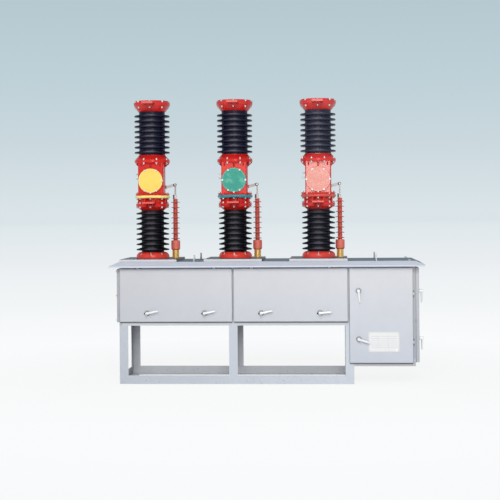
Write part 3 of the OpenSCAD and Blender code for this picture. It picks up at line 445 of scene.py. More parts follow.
def roof_coat(finish_name, pale, dark, painted_shade_sides):
    """Two tones by the way a face looks: faces that look straight up are dark, and so are, on the
    platforms, the walls across the box as painted shade, or on the roof its end slopes; all others are
    pale, with rain marks that run down them. The pale platform fronts are painted light."""
    finish = Finish(finish_name, pale, 0.42)
    aside, _, upward = finish.facing()
    streak = finish.noise(6.0, 4.0, 0.6, finish.stretched((6.0, 6.0, 0.8)))
    patches = finish.noise(9.0, 5.0, 0.6)
    fine = finish.noise(70.0, 3.0)
    top = finish.tinted(dark, patches * 0.7 + fine * 0.3 + 0.5)
    slope = finish.tinted(pale, streak * 0.12 + 0.94)
    # Painted shade: on the platforms the walls across the box are dark beside their painted-light fronts.
    walls = abs(aside) > 0.9 if painted_shade_sides else (abs(aside) > 0.2) * (upward > 0.3)
    colour = finish.mix((upward > 0.98) | walls, slope, top)
    return finish.surfaced(colour, patches * 0.12 + 0.40, finish.noise(190.0, 2.0), 0.0002)


dress(roof_coat("roof_paint", tone(210, 216, 228), tone(92, 104, 116), False), "roof")
dress(roof_coat("platform_paint", tone(222, 221, 226), tone(104, 106, 112), True), "pole_platforms")
dress(stand_paint, "lifting_lugs")

roof_bolt_x = 1.164
roof_bolt_y = 0.290
roof_seats = [(x, y, roof_top, 0, 0, 1) for x in (-roof_bolt_x, roof_bolt_x)
              for y in (-roof_bolt_y, roof_bolt_y)]
solid("roof_screws", [fasteners(roof_seats, across=0.019, thick=0.009, washer=0.014, seed=2)],
      fastener_zinc, "breaker")

# ---- Covers and doors --------------------------------------------------------------------------
# Folded pans of 2.5 mm sheet with a return lip behind, sprayed satin light grey. The front covers
# lift and the doors swing on their knuckles; the end cover and back covers are screwed on.

SIDES = {"front": (1, 0, 0), "right": (0, 1, 0), "back": (-1, 0, 0), "left": (0, -1, 0)}
joint_at = {joint["name"]: np.array(joint["pos_m"]) for joint in frame["joints"]}
box_face_y = -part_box("mechanism_tray")[0].y
box_face_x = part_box("mechanism_tray")[1].x
front_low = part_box("left_cover")[0]
lid_axis_up = 0.010
lid_depth = 0.020
knuckle_r = 0.006
knuckle_l = 0.024
leaf_lap = 0.001
lid_hinge_in = 0.147
end_door_gap = 0.005
end_hinge_gap = 0.008
end_leaf_reach = 0.009
seal_drop = 0.0085
cover_top = joint_at["left_cover_lift"][2] - lid_axis_up
door_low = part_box("mechanism_door")[0]
right_low, right_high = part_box("right_cover")
end_low, end_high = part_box("end_door")
end_cover_low, end_cover_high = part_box("left_end_cover")
end_door_depth = end_high.x - box_face_x - end_door_gap
end_door_far = joint_at["end_door_swing"][1] - end_hinge_gap
door_hinge_z = (door_low.z + 0.168, cover_top - 0.209)
FRONT = {
    "left_cover": (front_low.x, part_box("left_cover")[1].x, front_low.z, cover_top),
    "right_cover": (right_low.x, right_high.x, right_low.z, cover_top),
    "mechanism_door": (door_low.x, joint_at["mechanism_door_swing"][0] - knuckle_r, door_low.z, cover_top),
}


def cover_coat():
    """Satin light grey with painted light: warmer towards the upper edge and cooler low down as a painted
    reflection of sky and floor, a little paler towards the right end, and a deeper grey of painted shade on
    the covers of both ends."""
    end_covers = 1.2
    finish = Finish("cover_paint", tone(214, 215, 219), 0.34)
    x, _, z = finish.split(finish.place)
    # Painted light, paler towards the right, and painted shade on the end covers.
    shade = x * 0.065 + 0.985 - (abs(x) > end_covers) * 0.22
    # Painted reflection: warm grey towards the upper edge, cool grey low down.
    body = finish.tinted(finish.mix(up_the_box(z), tone(199, 204, 213), tone(212, 212, 216)), shade)
    return coat(finish, body, mottle=0.08, dust=0.08)


def on_side(side, u, v, w):
    """Points on a side of the box: u to the viewer's right, v up and w out from the middle."""
    across = np.array(SIDES[side], float)
    out = np.cross(across, (0, 0, 1))
    u, v, w = np.broadcast_arrays(u, v, w)
    return across * u[..., None] + np.array((0, 0, 1.0)) * v[..., None] + out * w[..., None]


def outline(rect, inset, corner):
    """Rings round a rectangle, one for each inset: its sides drawn in by the inset, joined by
    quarter circles of the corner radius less the inset, which stays above 0.4 mm."""
    least_r = 0.0004
    inset = np.asarray(inset, float)[:, None]
    step = np.arange(20)
    angle = np.radians(step // 5 * 90 + step % 5 * 22.5)
    quarter = np.radians(step // 5 * 90 + 45)
    radius = np.maximum(corner - inset, least_r)
    half_u, half_v = (rect[1] - rect[0]) / 2 - inset - radius, (rect[3] - rect[2]) / 2 - inset - radius
    u = (rect[0] + rect[1]) / 2 + np.sign(np.cos(quarter)) * half_u + radius * np.cos(angle)
    v = (rect[2] + rect[3]) / 2 + np.sign(np.sin(quarter)) * half_v + radius * np.sin(angle)
    return u, v


def pan(side, rect, face, depth):
    """Folded pan: rings from the middle of the face out over the front fold, a quarter circle, down
    the wall, round the rear fold to the lip, and back inside it all one sheet's thickness in."""
    sheet, fold, rear, lip, flat, corner = 0.0025, 0.004, 0.0035, 0.014, 0.012, 0.005
    bend = np.radians(np.linspace(0, 90, 5))
    sine, fall = np.sin(bend), 1 - np.cos(bend)
    inset = np.concatenate([[flat], fold * (1 - sine), rear * fall, [lip, lip],
                            sheet + (rear - sheet) * fall[::-1], sheet + (fold - sheet) * (1 - sine)[::-1],
                            [flat]])
    deep = np.concatenate([[0], fold * fall, depth - rear * (1 - sine), [depth, depth - sheet],
                           depth - sheet - (rear - sheet) * (1 - sine)[::-1],
                           sheet + (fold - sheet) * fall[::-1], [sheet]])
    u, v = outline(rect, inset, corner)
    return capped(on_side(side, u, v, (face - deep)[:, None])[None])


def looped(points):
    """Closed shell from a grid of points that joins up both ways, like a ring of tube."""
    return points.reshape(-1, 3), [cells(*points.shape[:2], (True, True))]


def knuckle(centre, axis, towards, reach):
    """Moving hinge knuckle: a ring between the bore and the barrel all round, whose outer wall runs
    out to the end of the leaf between two angles; the section is drawn along the pin."""
    axis, towards = np.array(axis, float), np.array(towards, float)
    beside = np.cross(axis, towards)
    bore, leaf = 0.00305, 0.0025
    start = math.asin(leaf / knuckle_r)
    angle = np.concatenate([[-start, start], np.linspace(start, 2 * np.pi - start, 22)])
    circle = np.stack([np.cos(angle), np.sin(angle)])
    inner, outer = bore * circle, knuckle_r * circle
    outer[0, :2] = reach
    outer[1, :2] = (-leaf, leaf)
    section = np.stack([outer, outer, inner, inner], -1)
    along = knuckle_l / 2 * np.array([-1, 1, 1, -1.0])
    points = (np.array(centre) + section[0][..., None] * towards + section[1][..., None] * beside
              + np.broadcast_to(along, section.shape[1:])[..., None] * axis)
    return looped(points)


def seal(side, rect, base):
    """Sponge rubber frame in the door gap: a low section with rounded shoulders, from 2.5 mm outside
    the pan's edge to 12 mm inside it, carried round the opening."""
    inset = np.array([-0.0025, -0.0025, -0.0015, 0.011, 0.012, 0.012])
    rise = np.array([0, 0.0035, 0.0045, 0.0045, 0.0035, 0])
    corner = 0.006
    u, v = outline(rect, inset, corner)
    return looped(on_side(side, u, v, (base + rise)[:, None]))


cover_paint = cover_coat()


def seal_coat():
    """Grey sponge rubber, a little paler with grit along the lower edges of the covers and pale
    with overspray round the end door."""
    lower_edge, end_frame = 0.013, 1.186
    finish = Finish("seal_rubber", tone(104, 106, 110), 0.7)
    x, _, z = finish.split(finish.place)
    low = sum(abs(z - level) < lower_edge for level in (front_low.z, door_low.z))
    body = finish.mix(x > end_frame, finish.colour, tone(176, 178, 182))
    body = finish.mix(low, body, tone(122, 123, 126))
    return coat(finish, body, mottle=0.3, dust=0.16, peel=0.0004)


seal_rubber = seal_coat()
DOWN, LEFT, NEAR = (0, 0, -1), (-1, 0, 0), (0, -1, 0)
ALONG, UP = (1, 0, 0), (0, 0, 1)
PAN_BODIES = {"left_cover": "left_lid", "right_cover": "right_lid", "mechanism_door": "cabinet_door"}
seals = []
for name, body in PAN_BODIES.items():
    rect = FRONT[name]
    shells = [pan("front", rect, -front_low.y, lid_depth)]
    if name == "mechanism_door":
        hinge_x, hinge_y, _ = joint_at["mechanism_door_swing"]
        shells += [knuckle((hinge_x, hinge_y, z), UP, LEFT, knuckle_r + leaf_lap) for z in door_hinge_z]
    else:
        _, hinge_y, hinge_z = joint_at[name + "_lift"]
        shells += [knuckle((x, hinge_y, hinge_z), ALONG, DOWN, lid_axis_up + leaf_lap)
                   for x in (rect[0] + lid_hinge_in, rect[1] - lid_hinge_in)]
    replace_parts(solid(name + "_pan", shells, cover_paint, body), name)
    seals.append(seal("front", (rect[0], rect[1], rect[2] - seal_drop, rect[3]), box_face_y))
end_rect = (end_low.y, end_door_far, end_low.z, cover_top)
hinge_x, hinge_y, _ = joint_at["end_door_swing"]
shells = [pan("right", end_rect, end_high.x, end_door_depth)]
shells += [knuckle((hinge_x, hinge_y, z), UP, NEAR, end_leaf_reach) for z in door_hinge_z]
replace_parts(solid("end_door_pan", shells, cover_paint, "side_door"), "end_door")
seals.append(seal("right", end_rect, box_face_x))
solid("door_seals", seals, seal_rubber, "breaker")

left_rect = (end_cover_low.y, end_cover_high.y, end_cover_low.z, end_cover_high.z)
left_pan = pan("left", left_rect, -end_cover_low.x, -end_cover_low.x - box_face_x)
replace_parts(solid("left_end_pan", [left_pan], cover_paint, "breaker"), "left_end_cover")
back_rects = [(-x1, -x0, z0, z1) for x0, x1, z0, z1 in FRONT.values()]
back_pans = [pan("back", rect, -front_low.y, -front_low.y - box_face_y) for rect in back_rects]
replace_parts(solid("back_pans", back_pans, cover_paint, "breaker"), "back_covers")


def edge_screws(side, rect, face, inset=0.020):
    """Screw seats near a cover's edges: three along each level edge, one half-way up each upright."""
    u0, u1, v0, v1 = rect[0] + inset, rect[1] - inset, rect[2] + inset, rect[3] - inset
    spots = [(u, v) for v in (v0, v1) for u in (u0, (u0 + u1) / 2, u1)]
    spots += [(u, (v0 + v1) / 2) for u in (u0, u1)]
    u, v = np.array(spots).T
    out = np.cross(SIDES[side], (0, 0, 1))
    return np.hstack([on_side(side, u, v, face), np.tile(out, (len(spots), 1))])


cover_seats = [edge_screws("left", left_rect, -end_cover_low.x)]
cover_seats += [edge_screws("back", rect, -front_low.y) for rect in back_rects]
cover_screws = fasteners(np.concatenate(cover_seats), across=0.013, thick=0.006, washer=0.011, seed=3)
solid("cover_screws", [cover_screws], fastener_zinc, "breaker")

# ---- Hinges ------------------------------------------------------------------------------------
# Zinc-plated knuckles on 6 mm pins, two to each door and cover, their leaves welded to the frame.

dress(metal("hinge_steel", tone(150, 152, 156), 0.34), "hinge_pins")

# ---- Handles -----------------------------------------------------------------------------------
# Die-cast lever handles, chrome plated, on round roses over rubber washers. Each hub holds a small lock
# barrel with a keyway. On the front covers a dust tab hangs below the hub, and a small black dome stands on
# the panel beside it.


def lever_axes(joint):
    """A lever's outward direction, along its joint's axis, with the upright and the one across."""
    out, up = np.array(joint["axis"], float), np.array((0, 0, 1.0))
    return out, up, np.cross(up, out)


def lock(joint):
    """Lock barrel in the hub's key hole: a round stack whose top closes in to the keyway, a slot with
    slightly bowed sides that drops 2 mm into the barrel."""
    hub_face, hole, slot_long, slot_wide = 0.038, 0.0038, 0.0023, 0.0005
    deep, slot_deep, chamfer, bow = 0.0075, 0.002, 0.0004, 0.0001
    out, up, side = lever_axes(joint)
    angle = np.radians(np.arange(16) * 22.5)
    disc = np.stack([np.cos(angle), np.sin(angle)], -1)
    keyway = np.stack([slot_wide * np.sign(disc[:, 0].round(6)) + bow * disc[:, 0],
                       slot_long * disc[:, 1]], -1)
    rings = np.stack([disc * hole, disc * hole, disc * (hole - chamfer), keyway, keyway])
    rise = hub_face - np.array([deep, 2 * chamfer, chamfer, chamfer, chamfer + slot_deep])
    return capped((joint["pos_m"] + rings[..., :1] * side + rings[..., 1:] * up
                   + rise[:, None, None] * out)[None])


def dust_tab(joint):
    """Dust tab: a drop-shaped plate that hangs from the hub, wide at its foot, 1.6 mm thick."""
    length, width, thick, pivot, above, bevel = 0.030, 0.0045, 0.0016, 0.0382, 0.002, 0.0003
    out, up, side = lever_axes(joint)
    angle = angles(24)
    across = width * np.sin(angle) * (1 + 0.35 * np.cos(angle))
    fall = -length / 2 * np.cos(angle)
    middle = above - length / 2
    edge = np.array([0, bevel, thick - bevel, thick])[:, None, None]
    draw = np.array([0.93, 1, 1, 0.93])[:, None, None]
    points = (np.array(joint["pos_m"]) + across[:, None] * side * draw
              + (middle + fall[:, None] * draw) * up + (pivot + edge) * out)
    return capped(points[None])


def rose_washer(joint):
    """Rubber washer under a rose: a round section, cut flat below, carried round a circle."""
    ring_r, section_r, sunk = 0.0218, 0.0013, 0.0004
    out, up, side = lever_axes(joint)
    turn = angles(40)[:, None]
    around = np.radians(np.arange(0, 360, 45))[None]
    radius = ring_r + section_r * np.cos(around)
    rise = np.maximum(section_r * np.sin(around), -sunk) + sunk
    return looped(joint["pos_m"] + (radius * np.cos(turn))[..., None] * side
                  + (radius * np.sin(turn))[..., None] * up + rise[..., None] * out)


def domes(centres, radius, rise):
    """Domed buttons on the front: stacks of rings whose radius falls as the cosine while the height
    rises as the sine of the same angle, from a first ring sunk half a millimetre."""
    lift = np.radians([0, 0, 30, 55, 75, 88])[:, None]
    turn = angles(16)
    out = np.sin(lift) * rise
    out[0] = -0.0005
    reach = radius * np.cos(lift)
    rings = np.stack(np.broadcast_arrays(reach * np.cos(turn), -out, reach * np.sin(turn)), -1)
    return capped(np.asarray(centres, float)[:, None, None] + rings[None])


polish = 0.00003
handle_chrome = metal("handle_chrome", tone(250, 250, 250), 0.26, depth=polish, tarnish=0.03, metallic=0.35)
rose_chrome = metal("rose_chrome", tone(158, 160, 166), 0.24, depth=polish, tarnish=0.08, metallic=0.6)
tab_zinc = metal("tab_zinc", tone(200, 196, 188), 0.4, tarnish=0.15, metallic=0.4)
dress(handle_chrome, *(name for name in frame["nodes"] if "_handle_" in name))
dress(rose_chrome, *(name for name in frame["nodes"] if name.endswith("_roses")))
levers = [joint for joint in frame["joints"] if joint["child"].endswith("_lever")]
for joint in levers:
    handle = joint["child"].removesuffix("_lever")
    solid(handle + "_lock", [lock(joint)], handle_chrome, joint["child"])
    if "cover" in handle:
        solid(handle + "_dust_tab", [dust_tab(joint)], tab_zinc, joint["child"])
for body in dict.fromkeys(joint["parent"] for joint in levers):
    washers = [rose_washer(joint) for joint in levers if joint["parent"] == body]
    solid(body + "_rose_washers", washers, seal_rubber, body)

# A small black dome on the panel beside each hub of the front covers.
plug_black = coat(Finish("plug_black", tone(22, 22, 24), 0.5), mottle=0.2, dust=0.06, peel=0.0001)
dome_aside, dome_down, dome_r = 0.0185, 0.003, 0.0085
for body in ("left_lid", "right_lid"):
    hubs = [joint["pos_m"] for joint in levers if joint["parent"] == body]
    spots = [(x - dome_aside, front_low.y, z - dome_down) for x, _, z in hubs]
    solid(body + "_lock_plugs", [domes(spots, dome_r, dome_r)], plug_black, body)

# ---- Rating plate ------------------------------------------------------------------------------
# A thin anodised plate riveted to the mechanism door, ruled as a form and left without words. A small white
# dome at its lower corner is a painted highlight, the glint on a rivet.

plate_low, plate_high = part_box("rating_plate")


def plate_face():
    """Pale anodised face: a border and the rules of a form, as thin bands in its own width and height,
    in a grey that comes and goes with a fine noise, over brushed lines that run across it."""
    finish = Finish("plate_metal", tone(236, 236, 235), 0.42, metallic=0.15)
    x, _, z = finish.split(finish.place)
    u = (x - plate_low.x) * (1 / (plate_high.x - plate_low.x))
    v = (z - plate_low.z) * (1 / (plate_high.z - plate_low.z))
    half_u, half_v = abs(u - 0.5), abs(v - 0.5)
    border = ((half_u > 0.475) | (half_v > 0.463)) * (half_u < 0.482) * (half_v < 0.474)
    inside = (half_u < 0.43) * (half_v < 0.36)
    rows = (v * 9).math("FRACT") < 0.16
    columns = (abs(u - 0.30) < 0.004) | (abs(u - 0.64) < 0.004)
    worn = finish.noise(60.0, 3.0)
    ruled = ((rows | columns) * inside * 0.42 | border * 0.55) * worn * 1.5
    brushed = finish.noise(90.0, 3.0, 0.6, finish.stretched((1.0, 1.0, 20.0)))
    base = finish.tinted(finish.colour, brushed * 0.12 + 0.94)
    colour = finish.mix(ruled.clamped(), base, tone(120, 122, 126))
    return finish.surfaced(colour, brushed * 0.2 + 0.34, brushed, 0.00005)


dress(plate_face(), "rating_plate")

rivet_in = 0.009
corners = [(x, plate_low.y, z) for x in (plate_low.x + rivet_in, plate_high.x - rivet_in)
           for z in (plate_low.z + rivet_in, plate_high.z - rivet_in)]
rivets = domes(corners, radius=0.0035, rise=0.002)
solid("plate_rivets", [rivets], fastener_zinc, "cabinet_door")
# Painted highlight: a small white dome stands for the glint on a rivet.
dot_white = coat(Finish("dot_white", tone(250, 250, 248), 0.5), mottle=0.03, dust=0.02, peel=0.00005)
dot_in = 0.020
dot_spot = (plate_high.x - dot_in, plate_low.y, plate_low.z + dot_in * 0.7)
dot = domes([dot_spot], radius=0.011, rise=0.001)
solid("inspection_dot", [dot], dot_white, "cabinet_door")

# ---- Operating gear ----------------------------------------------------------------------------
# The closed spring mechanism, the cross shaft with its cranks and the pull rods under the poles:
# plated side plates, black springs, a bare steel drum, a black motor and a cream auxiliary switch.

gear_low, gear_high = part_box("operating_mechanism")


def from_axis(u, v, u0, v0):
    """Distance from an axis at u0, v0, by Pythagoras."""
    return ((u - u0) ** 2 + (v - v0) ** 2).math("SQRT")


def gear_coat():
    """One material for the welded-up mechanism: its parts take their colours from where they stand,
    by distance from the drum's and the switch's axes and by height and depth."""
    plates_apart, drum_y, drum_z, drum_r = 0.161, 0.020, 0.380, 0.093
    switch_y, switch_z, switch_r = 0.130, 0.670, 0.026
    springs_before, springs_at = -0.055, (0.405, 0.655)
    motor_before, motor_right, motor_at = 0.081, 0.98, (0.2, 0.296)
    finish = Finish("gear_paint", tone(150, 156, 160), 0.42)
    x, y, z = finish.split(finish.place)
    inside = abs(x - (gear_low.x + gear_high.x) / 2) < plates_apart
    drum = (from_axis(y, z, drum_y, drum_z) < drum_r) * inside
    switch = (from_axis(y, z, switch_y, switch_z) < switch_r) * inside
    springs = (y < springs_before) * z.between(*springs_at) * inside
    motor = (y < motor_before) * z.between(*motor_at) * (x > motor_right) * inside
    patches = finish.noise(12.0, 4.0, 0.6)
    oil = finish.noise(26.0, 4.0, 0.6)
    colour = finish.tinted(finish.colour, patches * 0.3 + 0.85)
    for mask, shade in ((springs, tone(52, 54, 60)), (drum, tone(176, 174, 168)), (motor, tone(40, 42, 46)),
                        (switch, tone(228, 222, 202))):
        colour = finish.mix(mask, colour, shade)
    finish.set("Metallic", drum * 0.9)
    oiled = finish.tinted(colour, 1 - (oil > 0.6) * 0.12)
    return finish.surfaced(oiled, patches * 0.2 + 0.30, finish.noise(150.0, 2.0), 0.0002)


dress(gear_coat(), "operating_mechanism")
dress(metal("plated_steel", tone(206, 204, 196), 0.32, tarnish=0.15), "main_shaft", "pull_rods")

# ---- Pole castings -----------------------------------------------------------------------------
# Sand-cast aluminium flanges, crank housings and caps under a glossy red enamel that shows the
# grain of the sand. The right pole's front has had the pink of its phase cover carried over it.

POLES = ("a", "b", "c")
pole_x = {pole: sum(corner.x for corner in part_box("upper_insulator_" + pole)) / 2 for pole in POLES}
flat_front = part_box("phase_cover_a")[1].y + 0.006
housing_half = 0.110


def casting_coat():
    """Red enamel: deeper where it has run together, more orange where thin, paler on the right pole and the
    caps, and brighter on the base flanges. Painted shade darkens the gussets under the upper flange, and a
    painted highlight lightens the pads' front faces. The right pole's flat front is pink, and the middle
    one's a paler red. The studs left of each housing and the lug on its right are bare steel."""
    cap_from, flange_top, pads_before = 2.28, platform_top + 0.06, -0.20
    gussets_at, studs_at, lug_at = (1.755, 1.812), (1.66, 1.75), (1.59, 1.66)
    finish = Finish("red_paint", tone(211, 33, 26), 0.34, coat=0.15, specular=0.25)
    x, y, z = finish.split(finish.place)
    broad = finish.noise(5.0, 4.0, 0.6)
    patches = finish.noise(17.0, 5.0, 0.62)
    sand = finish.noise(95.0, 4.0, 0.6)
    thin = ((patches - 0.56) * 4).clamped() * 0.5
    pooled = ((0.47 - broad) * 4).clamped() * 0.7
    red = finish.mix(thin, finish.mix(pooled, finish.colour, tone(165, 15, 20)), tone(228, 62, 46))
    # Paler towards the right pole.
    paler_rightwards = ((x - 0.1) * 3.3).clamped()
    red = finish.mix((z > cap_from) * 0.10, red, tone(206, 116, 114))
    red = finish.mix(paler_rightwards * 0.35, red, tone(226, 84, 82))
    red = finish.mix((z < flange_top) * 0.5, red, tone(250, 84, 66))
    forward = finish.facing()[1]
    level_front = (forward < -0.95) * y.between(flat_front - 0.0015, flat_front + 0.0015)
    flat = level_front * (x > 0.2)
    middle = level_front * x.between(-0.5, 0.0)
    pink = finish.mix(patches, tone(247, 170, 158), tone(228, 132, 122))
    # Painted shade under the upper flange, over the gussets.
    under_flange_shade = y.between(-0.120, flat_front - 0.002) * z.between(*gussets_at)
    red = finish.mix(under_flange_shade * 0.7, red, tone(140, 10, 14))
    red = finish.mix(middle * 0.75, red, tone(232, 78, 66))
    # Painted highlight on the front faces of the terminal pads.
    pad_highlight = (forward < -0.9) * (y < pads_before)
    red = finish.mix(pad_highlight * 0.6, red, tone(240, 124, 110))
    colour = finish.mix(flat, red, pink)
    bare = 0
    for middle_x in pole_x.values():
        studs = (middle_x - housing_half - x).between(0.0, 0.05) * z.between(*studs_at)
        lug = (x - middle_x).between(0.109, 0.16) * (y > 0.02) * z.between(*lug_at)
        bare = studs + lug + bare
    finish.set("Metallic", bare * 0.9)
    colour = finish.mix(bare, colour, tone(186, 186, 188))
    return finish.surfaced(colour, patches * 0.22 + 0.20 + flat * 0.15, sand + patches * 2, 0.00035)


red_paint = casting_coat()
for pole in POLES:
    dress(red_paint, "lower_terminal_" + pole, "crank_housing_" + pole, "terminal_cap_" + pole)
dress(red_paint, "base_flanges")


def bolt_circle(x, z, radius, first, up):
    """Eight seats on a level circle round a pole, facing up or down."""
    angle = np.radians(first + np.arange(8) * 45.0)
    level = np.zeros(8)
    return np.stack([x + radius * np.cos(angle), radius * np.sin(angle), level + z,
                     level, level, level + up], -1)


# Every joint of a pole: height of the seats, radius of the bolt circle, first angle, up or down,
# height of the nuts, length of the studs above them
between_lugs = 22.5 - 90
JOINTS_OF_A_POLE = (
    (platform_top + 0.014, 0.123, -90, 1, 0.020, 0.010),
    (1.453, 0.130, -90, -1, 0.008, 0.0),
    (1.480, 0.130, -90, 1, 0.008, 0.004),
    (1.524, 0.130, -90, -1, 0.008, 0.003),
    (1.564, 0.130, -90, 1, 0.009, 0.0),
    (1.822, 0.139, between_lugs, -1, 0.010, 0.004),
    (1.846, 0.139, between_lugs, 1, 0.010, 0.0),
    (2.290, 0.137, -90, -1, 0.009, 0.0),
    (2.331, 0.143, -90, 1, 0.008, 0.0),
)
pole_nuts = []
for seed, (z, radius, first, up, thick, stud) in enumerate(JOINTS_OF_A_POLE):
    seats = np.concatenate([bolt_circle(x, z, radius, first, up) for x in pole_x.values()])
    pole_nuts.append(fasteners(seats, 0.0145, thick, washer=0.0092, stud=stud, seed=10 + seed))
solid("pole_screws", pole_nuts, fastener_zinc, "breaker")

# ---- Phase marks -------------------------------------------------------------------------------
# The round covers and the rings below the housings are painted yellow, green and red by phase;
# each cover is held by six hexagon screws near its rim.

DISCS = {"a": ("phase_yellow_disc", tone(250, 214, 93), tone(255, 228, 130), 0.1),
         "b": ("phase_green_disc", tone(24, 152, 130), tone(96, 184, 163), 0.9),
         "c": ("phase_pink_disc", tone(234, 154, 140), tone(247, 183, 170), 0.6)}
RINGS = {"a": ("phase_yellow_ring", tone(255, 243, 140)),
         "b": ("phase_teal_ring", tone(22, 154, 170)),
         "c": ("phase_orange_ring", tone(216, 90, 74))}


def phase_coat(finish_name, colour, rim, chalk_and_sheen, centre_x, centre_z):
    """Brushed-on paint: chalky clouds over the colour, and a paler rim round the bevel."""
    bevel_from = 0.0915
    finish = Finish(finish_name, colour, 0.38)
    x, _, z = finish.split(finish.place)
    outer = (from_axis(x, z, centre_x, centre_z) > bevel_from) * 0.7
    clouds = ((finish.noise(17.0, 4.0, 0.6) - 0.5) * 7).clamped() * chalk_and_sheen
    body = finish.mix(outer | clouds, finish.colour, rim)
    return coat(finish, body, mottle=0.20, dust=0.05, peel=0.0003)


disc_screws_r = 0.0965
angle = np.radians(np.arange(6) * 60.0)
level = np.zeros(6)
disc_seats = []
for pole in POLES:
    disc_low, disc_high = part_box("phase_cover_" + pole)
    disc_z = (disc_low.z + disc_high.z) / 2
    slot, colour, rim, chalk_and_sheen = DISCS[pole]
    dress(phase_coat(slot, colour, rim, chalk_and_sheen, pole_x[pole], disc_z), "phase_cover_" + pole)
    slot, colour = RINGS[pole]
    ring_paint = Finish(slot, colour, 0.30, coat=0.1, specular=0.3)
    dress(coat(ring_paint, mottle=0.16, dust=0.04), "phase_ring_" + pole)
    disc_seats.append(np.stack([pole_x[pole] + disc_screws_r * np.cos(angle), level + disc_low.y,
                                disc_z + disc_screws_r * np.sin(angle), level, level - 1, level], -1))
disc_screws = fasteners(np.concatenate(disc_seats), across=0.0125, thick=0.007, washer=0.0085, seed=30)
solid("phase_cover_screws", [disc_screws], fastener_zinc, "breaker")

# ---- Insulators --------------------------------------------------------------------------------
# Turned porcelain under a thick blue-black glaze. A painted sheen lightens its front, where the upper face
# of each shed carries a soft grey streak.


def glaze():
    """Glaze near black below and navy above, with faint clouds in tone, paler towards the right pole. A
    painted sheen follows a high power of the cosine of the angle round the axis from the front, more on
    faces that look up."""
    upper_from = 1.7
    finish = Finish("insulator_glaze", tone(5, 4, 14), 0.30, specular=0.11)
    x, _, z = finish.split(finish.place)
    cloud = finish.noise(7.0, 4.0)
    aside, forward, upward = finish.facing()
    level = upward | 0.0
    outward = (aside * aside + forward * forward).math("SQRT") | 0.001
    front = (forward * -1.0 | 0.0).math("DIVIDE", outward) ** 20
    upper = z > upper_from
    paler_rightwards = ((x + 0.3) * 1.4).clamped() * (upper * 0.35 + 0.15)
    batch = finish.mix(upper, finish.colour, tone(20, 20, 46))
    body = finish.mix(cloud * 0.12 + paler_rightwards, batch, tone(72, 76, 92))
    # Painted sheen on the front of each shed, strongest on faces that look up.
    chalk_and_sheen = (front * (level * 1.4 + 0.10)).clamped() * (upper * 0.13 + 0.33)
    sheened = finish.mix(chalk_and_sheen, body, tone(164, 160, 170))
    return finish.surfaced(sheened, cloud * 0.10 + level * 0.06 + 0.24, finish.noise(9.0, 1.0), 0.0002)


insulator_glaze = glaze()
for pole in POLES:
    dress(insulator_glaze, "lower_insulator_" + pole, "upper_insulator_" + pole)

# ---- Voltage sensors ---------------------------------------------------------------------------
# Slim posts of brown-red silicone on turned brass feet, with a plated strap up to a knob bolt and
# a flat bar back to each housing.

link_low, link_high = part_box("sensor_links")
post_aside = 0.179
bar_y = 0.118
knob_z = link_high.z - 0.012
clamp_top = link_low.z + 0.040
boot_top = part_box("sensor_feet")[1].z + 0.083


def link_coat():
    """Plated links: a pale bar, a greyer strap, and a dark clamp and knob, told apart by their places
    from each post's axis and the knob's."""
    bar_half, strap_half, strap_lap, knob_half = 0.0065, 0.0075, 0.002, 0.013
    knob_ring, clamp_at = (0.0070, 0.017), (-0.03, -0.0095)
    finish = Finish("bar_aluminium", tone(232, 228, 226), 0.35, metallic=0.4)
    x, y, z = finish.split(finish.place)
    ends = abs(y - bar_y) > bar_half
    knob, clamp, strap = 0, 0, 0
    for middle_x in pole_x.values():
        post_x = middle_x + post_aside
        beside = x - post_x
        knob = ends * from_axis(x, z, post_x, knob_z).between(*knob_ring) + knob
        clamp = beside.between(*clamp_at) * (z < clamp_top) + clamp
        narrow = beside.between(-strap_half, strap_half)
        strap = narrow * z.between(clamp_top - strap_lap, knob_z - knob_half) + strap
    cloud = finish.noise(30.0, 4.0)
    colour = finish.mix(cloud * 0.4, finish.colour, tone(184, 180, 178))
    colour = finish.mix(strap * 0.8, colour, tone(150, 140, 140))
    colour = finish.mix(knob, colour, tone(74, 70, 74))
    colour = finish.mix(clamp, colour, tone(52, 50, 54))
    return finish.surfaced(colour, cloud * 0.2 + 0.26, finish.noise(120.0, 2.0), 0.0001)


def silicone_coat():
    """Brown-red silicone, paler on the boots at the feet, with a painted highlight on them towards the
    front.
    """
    finish = Finish("sensor_silicone", tone(208, 88, 74), 0.45)
    z = finish.split(finish.place)[2]
    front = (finish.facing()[1] * -1.0 | 0.0) ** 3
    # Painted highlight: the boots brighten towards the front.
    boot_highlight = finish.mix(front * 0.7, tone(238, 108, 94), tone(255, 138, 118))
    body = finish.mix(z < boot_top, finish.colour, boot_highlight)
    return coat(finish, body, mottle=0.16, dust=0.05)


dress(silicone_coat(), "sensor_posts")
brass = metal("brass", tone(255, 208, 122), 0.30, grain=(1.0, 1.0, 6.0), tarnish=0.04, metallic=0.55)
dress(brass, "sensor_feet")
dress(link_coat(), "sensor_links")

# ---- Floor, light and camera -------------------------------------------------------------------
# A pale floor that runs out to the horizon without an edge, under soft studio light: a strong lamp
# ahead and above, a weaker one lower in front, a broad weak one from the left, and a pale sky.

HORIZON = tone(218.5, 228.5, 232.5)


def seen(graph):
    """1 for the camera's rays and those that gloss and glass send on, 0 for the light's."""
    rays = [graph.add("ShaderNodeLightPath", {}, {}, "Is " + kind + " Ray")
            for kind in ("Camera", "Glossy", "Transmission")]
    return rays[0] | rays[1] | rays[2]


